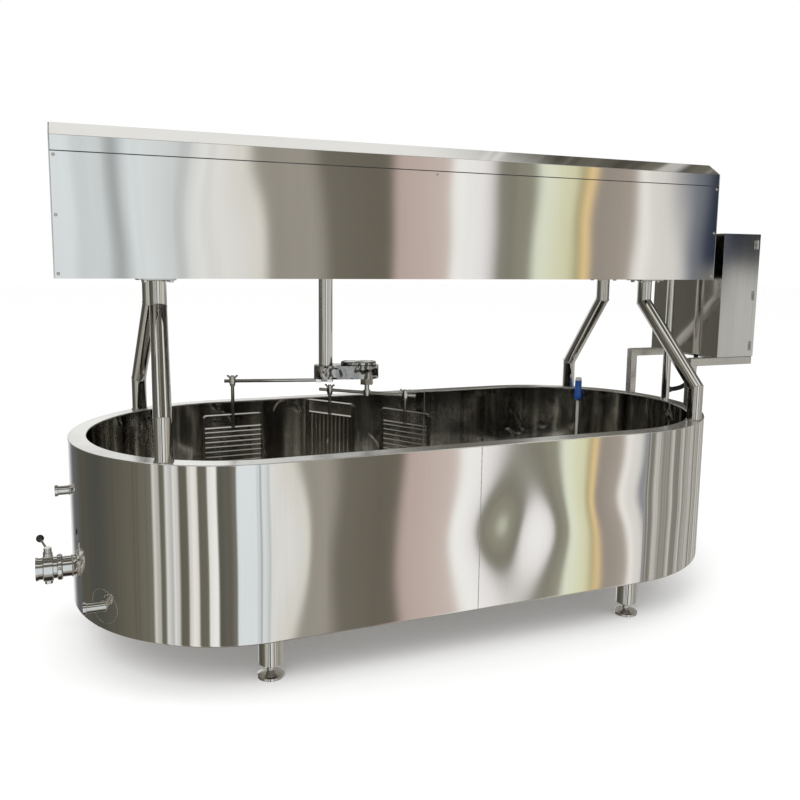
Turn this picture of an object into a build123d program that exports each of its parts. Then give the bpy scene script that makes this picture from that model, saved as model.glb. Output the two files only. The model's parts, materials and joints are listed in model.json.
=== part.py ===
"""Cheese making vat with an overhead travelling agitator, in millimetres, +Z up.

The origin is on the floor under the middle of the whole object.  +X runs along
the vat from the outlet valve to the control cabinet, +Y runs to its rear.
"""
from build123d import *
from math import atan2, cos, pi, radians, sin, sqrt, tan
import os

os.makedirs("parts", exist_ok=True)

# Vat
VAT_LENGTH = 2706.0
VAT_WIDTH = 1243.0
RIM_HEIGHT = 798.5
RIM_WIDTH = 64.0
RIM_THICK = 3.0
SHELL_WALL = 3.0
SHELL_LIP = 18.0
LINER_WALL = 3.0
LINER_COVE = 30.0
FLOOR_HEIGHT = 270.0
FLOOR_RISE = 22.0
BASE_HEIGHT = 190.0
BASE_PLATE = 4.0
FIT = 0.3
BUTT = 0.2

# Legs and levelling feet
LEG_X_LEFT = -717.5
LEG_X_RIGHT = 785.0
LEG_Y = 476.0
LEG_OD = 85.0
LEG_WALL = 3.0
LEG_PAD_OD = 120.0
LEG_PAD_THICK = 5.0
LEG_CAP = 8.0
STEM_OD = 30.0
STEM_CLEAR = 50.0
STEM_INSIDE = 60.0
STEM_FIT = 0.05
FOOT_OD = 95.0
FOOT_EDGE = 9.0
FOOT_DOME = 24.0
FOOT_SHOULDER = 18.3
FOOT_NUT_FLATS = 46.0
FOOT_NUT_THICK = 10.0

# Outlet and butterfly valve
OUTLET_OD = 76.1
OUTLET_WALL = 2.0
OUTLET_REACH = 34.0
OUTLET_RAISE = 3.0
UNION_OD = 96.0
UNION_WIDTH = 19.0
UNION_BOLT = 8.0
UNION_LUG = 13.3
VALVE_NECK = 12.0
VALVE_OD = 96.0
VALVE_WIDTH = 36.0
FERRULE_OD = 86.0
FERRULE_WIDTH = 25.0
DISC_THICK = 5.0
DISC_FIT = 0.3
VALVE_STEM_OD = 14.0
VALVE_BOSS_OD = 34.0
VALVE_BOSS_RISE = 12.0
VALVE_NUT_FLATS = 24.0
VALVE_NUT_DROP = 10.0
LEVER_LENGTH = 82.0
LEVER_OD = 9.0
LEVER_TILT = 10.0
LEVER_TURN = 17.0
LEVER_HUB_OD = 28.0
LEVER_HUB_HEIGHT = 18.0
LEVER_HUB_CROWN = 4.5
KNOB_OD = 29.0

# Heating jacket nozzles
NOZZLE_OD = 33.7
NOZZLE_WALL = 3.0
NOZZLE_COLLAR_OD = 42.0
NOZZLE_COLLAR = 12.0
INLET_Z = 600.0
INLET_REACH = 50.0
DRAIN_Y = -330.0
DRAIN_Z = 275.0
DRAIN_REACH = 66.0

# Beam over the vat
BEAM_LENGTH = 2740.0
BEAM_DEPTH = 458.4
BEAM_BOTTOM = 1375.5
PANEL_HEIGHT = 410.0
CAP_BAND = 50.8
ROOF_RISE = 47.2
ROOF_RUN = 70.0
SHEET = 2.0
END_SHEET = 3.0
PANEL_RETURN = 22.0
SIDE_TUBE_DEPTH = 80.0
SIDE_TUBE_HEIGHT = 50.0
SIDE_TUBE_WALL = 3.0
ARCH_X = (-690.0, 0.0, 690.0)
ARCH_BAR = 20.0
TIE_WIDTH = 70.0
END_FLANGE = 25.0
STOP_THICK = 8.0
SCREW_OD = 11.0
SCREW_RISE = 3.0
SCREW_SHANK = 5.0
SCREW_X = 1356.0
SCREW_ROWS = (16.0, 206.0, 397.0)

# Posts between vat and beam
POST_OD = 60.3
POST_WALL = 2.6
POST_BASE_X = (-1063.0, 1092.0)
POST_HEAD_X = (-1035.0, 1055.0)
POST_HEAD_Y = 152.0
POST_LOW_BEND = 137.0
POST_HIGH_BEND = 100.0
HEAD_PLATE = 118.0
HEAD_PLATE_THICK = 8.0
POST_BOLT_PITCH_X = 88.0
POST_BOLT_PITCH_Y = 56.0
POST_BOLT_FLATS = 16.0
POST_BOLT_HEAD = 8.0
WIRING_POST_OD = 38.0
WIRING_POST_WALL = 2.0
WIRING_POST_X = 1331.0
WIRING_PLATE_OD = 56.0
WIRING_PLATE_THICK = 5.0

# Carriage in the beam
SHAFT_X = -375.0
TRAVEL_LEFT = 300.0
TRAVEL_RIGHT = 1050.0
WHEEL_OD = 80.0
WHEEL_WIDTH = 30.0
WHEEL_FLANGE = 6.0
WHEEL_FLANGE_WIDTH = 5.0
WHEEL_SIDE_GAP = 0.5
AXLE_OD = 25.0
AXLE_FIT = 0.05
AXLE_PITCH = 340.0
PLATE_LENGTH = 450.0
PLATE_WIDTH = 200.0
PLATE_THICK = 12.0
PLATE_RISE = 23.0
BLOCK_LENGTH = 60.0
BLOCK_WIDTH = 26.0
BLOCK_Y = 85.0
BEARING_OD = 110.0
BEARING_DROP = 60.0
BUFFER_OD = 40.0
BUFFER_LENGTH = 30.0
BUFFER_GAP = 1.0
BUFFER_Y = 70.0
GEARBOX_LENGTH = 170.0
GEARBOX_WIDTH = 150.0
GEARBOX_HEIGHT = 120.0
MOTOR_OD = 138.0
MOTOR_HEIGHT = 190.0
MOTOR_FINS = 24
FIN_DEPTH = 6.0
COWL_HEIGHT = 40.0
TRAVEL_BOX_LENGTH = 92.0
TRAVEL_BOX_WIDTH = 80.0
TRAVEL_BOX_DROP = 42.0
TRAVEL_BOX_RISE = 62.0
TRAVEL_MOTOR_OD = 100.0
TRAVEL_MOTOR_HEIGHT = 150.0
NOTCH_GAP = 0.5

# Agitator head under the beam
SHAFT_OD = 57.0
SHAFT_WALL = 5.0
SHAFT_FIT = 0.05
CASING_TOP = 1026.0
CASING_HEIGHT = 54.0
CASING_RADIUS = 47.0
CASING_WALL = 4.0
CASING_BOSS_OD = 40.0
CASING_BOSS = 12.0
CASING_ANGLE = -13.0
CENTRE_DISTANCE = 168.0
COVER_THICK = 4.0
COVER_RAISE = 14.0
COVER_START = 99.0
COVER_RADIUS = 37.0
SUN_ROD_OD = 24.0
SHAFT_SOCKET = 70.0
SUN_BELT_RADIUS = 32.0
PLANET_RATIO = 2.0
BELT_THICK = 5.0
BELT_WIDTH = 12.0
BELT_FIT = 0.3
PULLEY_FLANGE = 3.0
PULLEY_LIP = 2.5
SPINDLE_OD = 20.0
SPINDLE_FIT = 0.05
SPINDLE_NUT_ACROSS = 55.0
SPINDLE_NUT = 27.0
SPINDLE_STUB = 22.0
HUB_OD = 30.0
HUB_HEIGHT = 24.0

# Stirring tools
ARM_OD = 14.0
LONG_ARM_Z = 964.3
LONG_ARM_REACH = 402.0
LONG_ARM_INNER = 30.0
LONG_ARM_ROD = 370.0
SHORT_ARM_HALF = 211.0
SHORT_ARM_ANGLE = -41.0
SHORT_ARM_ROD = 165.0
ROD_OD = 14.0
ROD_FIT = 0.05
EYE_OD = 26.0
EYE_HEIGHT = 20.0
NUT_OD = 22.0
NUT_HEIGHT = 9.0
WING_SPAN = 44.0
WING_THICK = 4.0
WING_HEIGHT = 14.0
WING_ROOT = 28.0
ROD_TAIL = 3.0
HARP_WIDTH = 234.0
HARP_DEPTH = 24.0
STRIP = 3.0
HARP_CORNER = 12.0
HARP_BOTTOM = 340.0
HARP_BAR_DROP = 53.0
HARP_1_TOP = 829.6
HARP_2_TOP = 862.0
HARP_3_TOP = 847.0
BLADE_PITCH = 20.0
BLADE_THICK = 1.6
BLADE_DEPTH = 16.0
HARP_1_ANGLE = 2.0
HARP_2_ANGLE = -52.0
HARP_3_ANGLE = -57.0

# Control cabinet beside the vat's end
CABINET_X = 1420.0
CABINET_DEPTH = 190.0
CABINET_WIDTH = 455.0
CABINET_HEIGHT = 560.0
CABINET_BOTTOM = 1022.0
CABINET_WALL = 2.0
CABINET_RETURN = 20.0
DOOR_THICK = 20.0
DOOR_WALL = 2.0
DOOR_GAP = 0.5
HINGE_PIN = 6.0
HINGE_OD = 11.0
HINGE_LEAF = 2.5
HINGE_LEAF_WIDTH = 24.0
HINGE_HEIGHT = 36.0
HINGE_INSET = 60.0
HINGE_FIT = 0.06
LOCK_OD = 20.0
LOCK_FIT = 0.05
LOCK_EDGE = 40.0
LOCK_HEAD_OD = 28.0
LOCK_HEAD = 6.0
CAM_LENGTH = 30.0
CAM_WIDTH = 14.0
CAM_THICK = 3.0
BUTTON_OD = 22.0
BUTTON_BEZEL_OD = 30.0
BUTTON_BEZEL = 4.0
BUTTON_RISE = 10.0
BUTTON_INSIDE = 16.0
BUTTON_FIT = 0.05
ESTOP_OD = 40.0
ESTOP_RISE = 26.0
CONTROL_PITCH = 70.0
CONTROL_ROW = 140.0
LAMP_OD = 22.0
LAMP_RISE = 12.0
CHASSIS_GAP = 12.0
CHASSIS_THICK = 2.0
BRACKET_TUBE = 36.0
BRACKET_X = 1290.0
BRACKET_Y = 210.0
BRACKET_END = 1625.0

# Conduit from the wiring post to the cabinet
CONDUIT_OD = 22.0
CONDUIT_RISE = 44.5
CONDUIT_RUN = 66.0
CONDUIT_TURN = 30.0
CONDUIT_BEND = 29.7
GLAND_OD = 30.0
GLAND_LENGTH = 8.0

# Temperature probe hung on the rear inner wall
PROBE_ANGLE = 46.3
PROBE_WALL_GAP = 27.0
PROBE_ROD_OD = 16.0
PROBE_TIP_OD = 9.0
PROBE_ROD_LENGTH = 250.0
GRIP_OD = 34.0
GRIP_COLLAR_OD = 39.0
GRIP_COLLAR = 27.3
GRIP_LENGTH = 113.0
GRIP_DROP = 51.5
HOLDER_RING_OD = 38.0
HOLDER_THICK = 6.0
HOLDER_FIT = 0.4
HOLDER_WIDTH = 14.0

# Worked out from the sizes above
ESTOP_REACH = CABINET_X + CABINET_DEPTH + DOOR_GAP + DOOR_THICK + ESTOP_RISE
OUTLET_END = (
    VAT_LENGTH / 2 + OUTLET_REACH + UNION_WIDTH + VALVE_NECK + VALVE_WIDTH + FERRULE_WIDTH
)
TX = (OUTLET_END - ESTOP_REACH) / 2
VAT_END = TX - VAT_LENGTH / 2
END_RADIUS = VAT_WIDTH / 2
END_X = VAT_LENGTH / 2 - END_RADIUS
RIM_LINE = END_RADIUS - RIM_WIDTH / 2
SHELL_TOP = RIM_HEIGHT - RIM_THICK
CONDUIT_Z = RIM_HEIGHT + CONDUIT_RISE
GRIP_Z = RIM_HEIGHT - GRIP_DROP
OUTLET_Z = FLOOR_HEIGHT + OUTLET_OD / 2 + OUTLET_RAISE
FLOOR_PLANE = Plane(
    origin=(TX, 0, FLOOR_HEIGHT + FLOOR_RISE / 2),
    x_dir=(VAT_LENGTH, 0, FLOOR_RISE),
    z_dir=(-FLOOR_RISE, 0, VAT_LENGTH),
)
BEAM_Y = BEAM_DEPTH / 2
SEAM_Z = BEAM_BOTTOM + PANEL_HEIGHT
CAP_TOP = SEAM_Z + CAP_BAND
ROOF_TOP = CAP_TOP + ROOF_RISE
ROOF_ANGLE = atan2(ROOF_RISE, ROOF_RUN)
CAP_END = BEAM_LENGTH / 2 - END_SHEET
FRAME_BOTTOM = BEAM_BOTTOM + SHEET
RAIL_TOP = FRAME_BOTTOM + SIDE_TUBE_HEIGHT
TUBE_INNER = POST_HEAD_Y - SIDE_TUBE_DEPTH / 2
TUBE_OUTER = POST_HEAD_Y + SIDE_TUBE_DEPTH / 2
AXLE_Z = RAIL_TOP + WHEEL_OD / 2 + FIT
PLATE_Z = AXLE_Z + PLATE_RISE
PLATE_TOP = PLATE_Z + PLATE_THICK
SHAFT_GX = TX + SHAFT_X
DRIVE_X = SHAFT_GX + AXLE_PITCH / 2
CASING_BOTTOM = CASING_TOP - CASING_HEIGHT
SPINDLE_X = SHAFT_GX + CENTRE_DISTANCE * cos(radians(CASING_ANGLE))
SPINDLE_Y = CENTRE_DISTANCE * sin(radians(CASING_ANGLE))
BELT_Z = CASING_BOTTOM + CASING_HEIGHT / 2 - BELT_WIDTH / 2
HUB_TOP = CASING_BOTTOM - SPINDLE_NUT - SPINDLE_STUB
SHORT_ARM_Z = HUB_TOP - HUB_HEIGHT / 2
DOOR_X = TX + CABINET_X + CABINET_DEPTH + DOOR_GAP
DOOR_FACE = DOOR_X + DOOR_THICK
DOOR_MID_Z = CABINET_BOTTOM + CABINET_HEIGHT / 2
HINGE_Y = -CABINET_WIDTH / 2 - HINGE_OD / 2
PROBE_R = END_RADIUS - RIM_WIDTH - PROBE_WALL_GAP
PROBE_X = TX + END_X + PROBE_R * cos(radians(PROBE_ANGLE))
PROBE_Y = PROBE_R * sin(radians(PROBE_ANGLE))


def rim_y(x):
    """Distance from the centre line to the middle of the rim at a place along the vat."""
    return sqrt(RIM_LINE**2 - (abs(x) - END_X) ** 2)


def along(origin_x, origin_y, angle, reach):
    """Point at a distance from another one, in a direction in the horizontal plane."""
    return (
        origin_x + reach * cos(radians(angle)),
        origin_y + reach * sin(radians(angle)),
    )


def stadium(inset):
    """Outline of the vat in plan, drawn in by an inset."""
    with Locations((TX, 0)):
        SlotOverall(VAT_LENGTH - 2 * inset, VAT_WIDTH - 2 * inset)


def bars_up(points, level, radius, height, inner=0.0):
    """Round bars or tubes standing at several points on one level."""
    with BuildSketch(Plane.XY.offset(level)) as ends:
        with Locations(*points):
            Circle(radius)
            if inner:
                Circle(inner, mode=Mode.SUBTRACT)
    extrude(ends.sketch, amount=height)


def bars_out(points, face_x, radius, length, inner=0.0, mode=Mode.ADD):
    """Round bars or tubes along X, from a face at one X, at points in Y and Z."""
    with BuildSketch(Plane.YZ.offset(face_x)) as ends:
        with Locations(*points):
            Circle(radius)
            if inner:
                Circle(inner, mode=Mode.SUBTRACT)
    extrude(ends.sketch, amount=length, mode=mode)


def blocks(points, level, length, width, height, angle=0.0, mode=Mode.ADD):
    """Upright blocks with their middles at several points on one level."""
    with BuildSketch(Plane.XY.offset(level)) as ends:
        with Locations(*points):
            Rectangle(length, width, rotation=angle)
    extrude(ends.sketch, amount=height, mode=mode)


def save(part, name):
    """Label one finished piece and write it."""
    part.label = name
    export_step(part, f"parts/{name}.step")


# Outer shell with its inward lip
DRAIN_ROOT = TX - END_X - sqrt(END_RADIUS**2 - DRAIN_Y**2)
with BuildPart() as outer_shell:
    with BuildSketch(Plane.XY.offset(BASE_HEIGHT)):
        stadium(0)
    extrude(amount=SHELL_TOP - BASE_HEIGHT)
    with BuildSketch(Plane.XY.offset(BASE_HEIGHT + SHELL_WALL)):
        stadium(SHELL_WALL)
    extrude(amount=SHELL_TOP - BASE_HEIGHT, mode=Mode.SUBTRACT)
    with BuildSketch(Plane.XY.offset(BASE_HEIGHT)):
        stadium(SHELL_LIP)
    extrude(amount=SHELL_WALL, mode=Mode.SUBTRACT)
    bars_out([(0, OUTLET_Z)], VAT_END, OUTLET_OD / 2 + FIT, RIM_WIDTH / 2, mode=Mode.SUBTRACT)
    bars_out([(0, INLET_Z)], VAT_END, NOZZLE_OD / 2 + FIT, RIM_WIDTH / 2, mode=Mode.SUBTRACT)
    bars_out(
        [(DRAIN_Y, DRAIN_Z)],
        DRAIN_ROOT - NOZZLE_OD,
        NOZZLE_OD / 2 + FIT,
        2 * NOZZLE_OD,
        mode=Mode.SUBTRACT,
    )
save(outer_shell.part, "outer_shell")

# Inner basin with a floor that falls to the outlet
with BuildPart() as basin_space:
    with BuildSketch(Plane.XY.offset(FLOOR_HEIGHT - FLOOR_RISE)):
        stadium(RIM_WIDTH)
    extrude(amount=RIM_HEIGHT - FLOOR_HEIGHT + FLOOR_RISE)
    split(bisect_by=FLOOR_PLANE, keep=Keep.TOP)
    fillet(basin_space.faces().sort_by(Axis.Z)[0].edges(), LINER_COVE)
with BuildPart() as inner_liner:
    with BuildSketch(Plane.XY.offset(FLOOR_HEIGHT - FLOOR_RISE - LINER_WALL)):
        stadium(RIM_WIDTH - LINER_WALL)
    extrude(amount=SHELL_TOP - FLOOR_HEIGHT + FLOOR_RISE + LINER_WALL)
    split(bisect_by=FLOOR_PLANE.offset(-LINER_WALL), keep=Keep.TOP)
    fillet(inner_liner.faces().sort_by(Axis.Z)[0].edges(), LINER_COVE + LINER_WALL)
    add(basin_space.part, mode=Mode.SUBTRACT)
    bars_out(
        [(0, OUTLET_Z)], VAT_END, OUTLET_OD / 2 + FIT, RIM_WIDTH + LINER_COVE, mode=Mode.SUBTRACT
    )
save(inner_liner.part, "inner_liner")

# Flat rim that joins shell and basin
with BuildPart() as rim_flange:
    with BuildSketch(Plane.XY.offset(SHELL_TOP)):
        stadium(0)
    extrude(amount=RIM_THICK)
    with BuildSketch(Plane.XY.offset(SHELL_TOP)):
        stadium(RIM_WIDTH)
    extrude(amount=RIM_THICK, mode=Mode.SUBTRACT)
save(rim_flange.part, "rim_flange")

# Base plate that lies on the shell's lip
LEG_TOP = BASE_HEIGHT + SHELL_WALL
with BuildPart() as base_plate:
    with BuildSketch(Plane.XY.offset(LEG_TOP)):
        stadium(SHELL_WALL + FIT)
    extrude(amount=BASE_PLATE)
save(base_plate.part, "base_plate")

# Legs with a pad on top and a bored cap at the lower end
LEG_POINTS = [(TX + x, y) for x in (LEG_X_LEFT, LEG_X_RIGHT) for y in (-LEG_Y, LEG_Y)]
with BuildPart() as leg_tubes:
    bars_up(LEG_POINTS, STEM_CLEAR, LEG_OD / 2, LEG_TOP - STEM_CLEAR, LEG_OD / 2 - LEG_WALL)
    bars_up(LEG_POINTS, LEG_TOP - LEG_PAD_THICK, LEG_PAD_OD / 2, LEG_PAD_THICK)
    bars_up(LEG_POINTS, STEM_CLEAR, LEG_OD / 2, LEG_CAP, STEM_OD / 2 + STEM_FIT)
save(leg_tubes.part, "leg_tubes")

# Levelling feet: domed disc, lock nut and stem
with BuildPart() as levelling_feet:
    for foot_x, foot_y in LEG_POINTS:
        with BuildSketch(Plane(origin=(foot_x, foot_y, 0), x_dir=(1, 0, 0), z_dir=(0, -1, 0))):
            with BuildLine():
                Polyline((STEM_OD / 2, FOOT_DOME), (0, FOOT_DOME), (0, 0), (FOOT_OD / 2, 0))
                Line((FOOT_OD / 2, 0), (FOOT_OD / 2, FOOT_EDGE))
                ThreePointArc(
                    (FOOT_OD / 2, FOOT_EDGE),
                    (FOOT_OD / 3, FOOT_SHOULDER),
                    (STEM_OD / 2, FOOT_DOME),
                )
            make_face()
        revolve(axis=Axis((foot_x, foot_y, 0), (0, 0, 1)))
    bars_up(LEG_POINTS, FOOT_EDGE, STEM_OD / 2, STEM_CLEAR + STEM_INSIDE - FOOT_EDGE)
    with BuildSketch(Plane.XY.offset(STEM_CLEAR - FIT - FOOT_NUT_THICK)):
        with Locations(*LEG_POINTS):
            RegularPolygon(FOOT_NUT_FLATS / 2, 6, major_radius=False)
    extrude(amount=FOOT_NUT_THICK)
save(levelling_feet.part, "levelling_feet")

# Outlet pipe through both walls
OUTLET_FACE = VAT_END - OUTLET_REACH
BORE_R = OUTLET_OD / 2 - OUTLET_WALL
with BuildPart() as outlet_pipe:
    bars_out([(0, OUTLET_Z)], OUTLET_FACE, OUTLET_OD / 2, OUTLET_REACH + RIM_WIDTH, BORE_R)
save(outlet_pipe.part, "outlet_pipe")

# Clamp union with its bolt lug
UNION_FACE = OUTLET_FACE - UNION_WIDTH
UNION_X = UNION_FACE + UNION_WIDTH / 2
with BuildPart() as outlet_union:
    bars_out([(0, OUTLET_Z)], UNION_FACE, UNION_OD / 2, UNION_WIDTH)
    chamfer(outlet_union.edges().filter_by(GeomType.CIRCLE), UNION_WIDTH / 5)
    blocks(
        [(UNION_X, -UNION_OD / 2)],
        OUTLET_Z - UNION_BOLT,
        UNION_LUG,
        UNION_WIDTH,
        2 * UNION_BOLT,
    )
    bars_up(
        [(UNION_X, -UNION_OD / 2 - UNION_BOLT / 2)],
        OUTLET_Z - 2 * UNION_BOLT,
        UNION_BOLT / 2,
        4 * UNION_BOLT,
    )
    bars_out([(0, OUTLET_Z)], UNION_FACE, BORE_R, UNION_WIDTH, mode=Mode.SUBTRACT)
save(outlet_union.part, "outlet_union")

# Butterfly valve body with its ferrule end
VALVE_FACE = UNION_FACE - VALVE_NECK - VALVE_WIDTH
VALVE_X = VALVE_FACE + VALVE_WIDTH / 2
VALVE_TOP = OUTLET_Z + VALVE_OD / 2 + VALVE_BOSS_RISE
FERRULE_FACE = VALVE_FACE - FERRULE_WIDTH
VALVE_REACH = UNION_FACE - FERRULE_FACE
with BuildPart() as valve_body:
    bars_out([(0, OUTLET_Z)], VALVE_FACE, VALVE_OD / 2, VALVE_WIDTH)
    chamfer(valve_body.edges().filter_by(GeomType.CIRCLE), OUTLET_RAISE)
    bars_out([(0, OUTLET_Z)], FERRULE_FACE, FERRULE_OD / 2, FERRULE_WIDTH / 3)
    bars_out([(0, OUTLET_Z)], FERRULE_FACE, OUTLET_OD / 2 + OUTLET_WALL, VALVE_REACH)
    bars_up([(VALVE_X, 0)], OUTLET_Z, VALVE_BOSS_OD / 2, VALVE_TOP - OUTLET_Z)
    with BuildSketch(Plane.XY.offset(OUTLET_Z - VALVE_OD / 2 - VALVE_NUT_DROP)):
        with Locations((VALVE_X, 0)):
            RegularPolygon(VALVE_NUT_FLATS / 2, 6, major_radius=False)
    extrude(amount=VALVE_OD / 2)
    bars_out([(0, OUTLET_Z)], FERRULE_FACE, BORE_R, VALVE_REACH, mode=Mode.SUBTRACT)
    with Locations((VALVE_X, 0, OUTLET_Z)):
        Cylinder(
            VALVE_STEM_OD / 2 + STEM_FIT,
            VALVE_TOP - OUTLET_Z,
            align=(Align.CENTER, Align.CENTER, Align.MIN),
            mode=Mode.SUBTRACT,
        )
save(valve_body.part, "valve_body")

# Disc and stem that the lever turns
STEM_TOP = VALVE_TOP + LEVER_HUB_HEIGHT - LEVER_HUB_CROWN
TURN = radians(LEVER_TURN)
TILT = radians(LEVER_TILT)
with BuildPart() as valve_disc:
    with BuildSketch(Plane(origin=(VALVE_X, 0, OUTLET_Z), z_dir=(cos(TURN), sin(TURN), 0))):
        Circle(BORE_R - DISC_FIT)
    extrude(amount=DISC_THICK / 2, both=True)
    bars_up([(VALVE_X, 0)], OUTLET_Z, VALVE_STEM_OD / 2, STEM_TOP - OUTLET_Z)
save(valve_disc.part, "valve_disc")

# Lever, which would point straight to the rear with the valve shut
LEVER_BASE = VALVE_TOP + FIT
LEVER_PLANE = Plane(
    origin=(VALVE_X, 0, LEVER_BASE + LEVER_HUB_HEIGHT / 2),
    x_dir=(cos(TURN), sin(TURN), 0),
    z_dir=(-sin(TURN) * cos(TILT), cos(TURN) * cos(TILT), sin(TILT)),
)
with BuildPart() as valve_handle:
    with BuildSketch(LEVER_PLANE):
        Circle(LEVER_OD / 2)
    extrude(amount=LEVER_LENGTH)
    bars_up([(VALVE_X, 0)], LEVER_BASE, LEVER_HUB_OD / 2, LEVER_HUB_HEIGHT)
    with Locations((VALVE_X, 0, LEVER_BASE)):
        Cylinder(
            VALVE_STEM_OD / 2,
            STEM_TOP - LEVER_BASE,
            align=(Align.CENTER, Align.CENTER, Align.MIN),
            mode=Mode.SUBTRACT,
        )
save(valve_handle.part, "valve_handle")

# Ball on the end of the lever
KNOB_SEAT = sqrt((KNOB_OD / 2) ** 2 - (LEVER_OD / 2) ** 2)
with BuildPart() as valve_knob:
    with Locations(LEVER_PLANE.offset(LEVER_LENGTH + KNOB_SEAT)):
        Sphere(KNOB_OD / 2)
    split(bisect_by=LEVER_PLANE.offset(LEVER_LENGTH), keep=Keep.TOP)
save(valve_knob.part, "valve_knob")

# Jacket nozzles, the inlet above and the drain below
with BuildPart() as jacket_nozzles:
    for root, reach, y, z in (
        (VAT_END, INLET_REACH, 0, INLET_Z),
        (DRAIN_ROOT, DRAIN_REACH, DRAIN_Y, DRAIN_Z),
    ):
        bars_out([(y, z)], root - reach, NOZZLE_OD / 2, reach + RIM_WIDTH / 3)
        bars_out([(y, z)], root - reach, NOZZLE_COLLAR_OD / 2, NOZZLE_COLLAR)
        bars_out(
            [(y, z)],
            root - reach,
            NOZZLE_OD / 2 - NOZZLE_WALL,
            reach + RIM_WIDTH / 3,
            mode=Mode.SUBTRACT,
        )
save(jacket_nozzles.part, "jacket_nozzles")


def bent_post(side, row):
    """Bent tube from the rim to the beam: side is 0 left or 1 right, row is -1 front or 1 rear."""
    base_x = POST_BASE_X[side]
    head_x = TX + POST_HEAD_X[side]
    base = Vector(TX + base_x, row * rim_y(base_x), RIM_HEIGHT)
    head = Vector(head_x, row * POST_HEAD_Y, FRAME_BOTTOM - HEAD_PLATE_THICK)
    upper_bend = Vector(head_x, row * POST_HEAD_Y, BEAM_BOTTOM - POST_HIGH_BEND)
    with BuildPart() as post:
        with BuildLine() as route:
            Polyline(base, base + Vector(0, 0, POST_LOW_BEND), upper_bend, head)
        with BuildSketch(Plane(base)):
            Circle(POST_OD / 2)
            Circle(POST_OD / 2 - POST_WALL, mode=Mode.SUBTRACT)
        sweep(path=route.wires()[0], transition=Transition.RIGHT)
        with BuildSketch(Plane(head)):
            RectangleRounded(HEAD_PLATE, HEAD_PLATE, POST_BOLT_HEAD)
        extrude(amount=HEAD_PLATE_THICK)
    return post.part


for side, side_name in ((0, "left"), (1, "right")):
    for row, row_name in ((-1, "front"), (1, "rear")):
        save(bent_post(side, row), f"post_{row_name}_{side_name}")

# Bolt heads under the posts' head plates
BOLT_POINTS = [
    (TX + x + bx * POST_BOLT_PITCH_X / 2, row * POST_HEAD_Y + by * POST_BOLT_PITCH_Y / 2)
    for x in POST_HEAD_X
    for row in (-1, 1)
    for bx in (-1, 1)
    for by in (-1, 1)
]
with BuildPart() as post_bolts:
    with BuildSketch(Plane.XY.offset(FRAME_BOTTOM - HEAD_PLATE_THICK - POST_BOLT_HEAD)):
        with Locations(*BOLT_POINTS):
            RegularPolygon(POST_BOLT_FLATS / 2, 6, major_radius=False)
    extrude(amount=POST_BOLT_HEAD)
save(post_bolts.part, "post_bolts")

# Straight post that brings the wiring up
WIRING_X = TX + WIRING_POST_X
WIRING_INNER = WIRING_POST_OD / 2 - WIRING_POST_WALL
with BuildPart() as wiring_post:
    bars_up(
        [(WIRING_X, 0)],
        RIM_HEIGHT,
        WIRING_POST_OD / 2,
        FRAME_BOTTOM - RIM_HEIGHT,
        WIRING_INNER,
    )
    bars_up(
        [(WIRING_X, 0)],
        FRAME_BOTTOM - WIRING_PLATE_THICK,
        WIRING_PLATE_OD / 2,
        WIRING_PLATE_THICK,
        WIRING_INNER,
    )
    bars_out(
        [(0, CONDUIT_Z)], WIRING_X, CONDUIT_OD / 2 + FIT, WIRING_POST_OD / 2, mode=Mode.SUBTRACT
    )
save(wiring_post.part, "wiring_post")


def roof_outline(inset, low):
    """Section of the beam under its roof in Y and Z, drawn in by an inset."""
    eaves_y = BEAM_Y - inset
    eaves_z = CAP_TOP - inset * tan(pi / 4 - ROOF_ANGLE / 2)
    ridge_y = BEAM_Y - ROOF_RUN - inset * tan(ROOF_ANGLE / 2)
    ridge_z = ROOF_TOP - inset
    Polygon(
        (-eaves_y, low),
        (eaves_y, low),
        (eaves_y, eaves_z),
        (ridge_y, ridge_z),
        (-ridge_y, ridge_z),
        (-eaves_y, eaves_z),
        align=None,
    )


# Stops across the beam at the two ends of the carriage's travel
STOP_REACH = PLATE_LENGTH / 2 + BUFFER_GAP + BUFFER_LENGTH
STOPS = (
    (SHAFT_GX - TRAVEL_LEFT - STOP_REACH, -1),
    (SHAFT_GX + TRAVEL_RIGHT + STOP_REACH, 1),
)
BUFFER_Z = PLATE_Z + PLATE_THICK / 2

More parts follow.
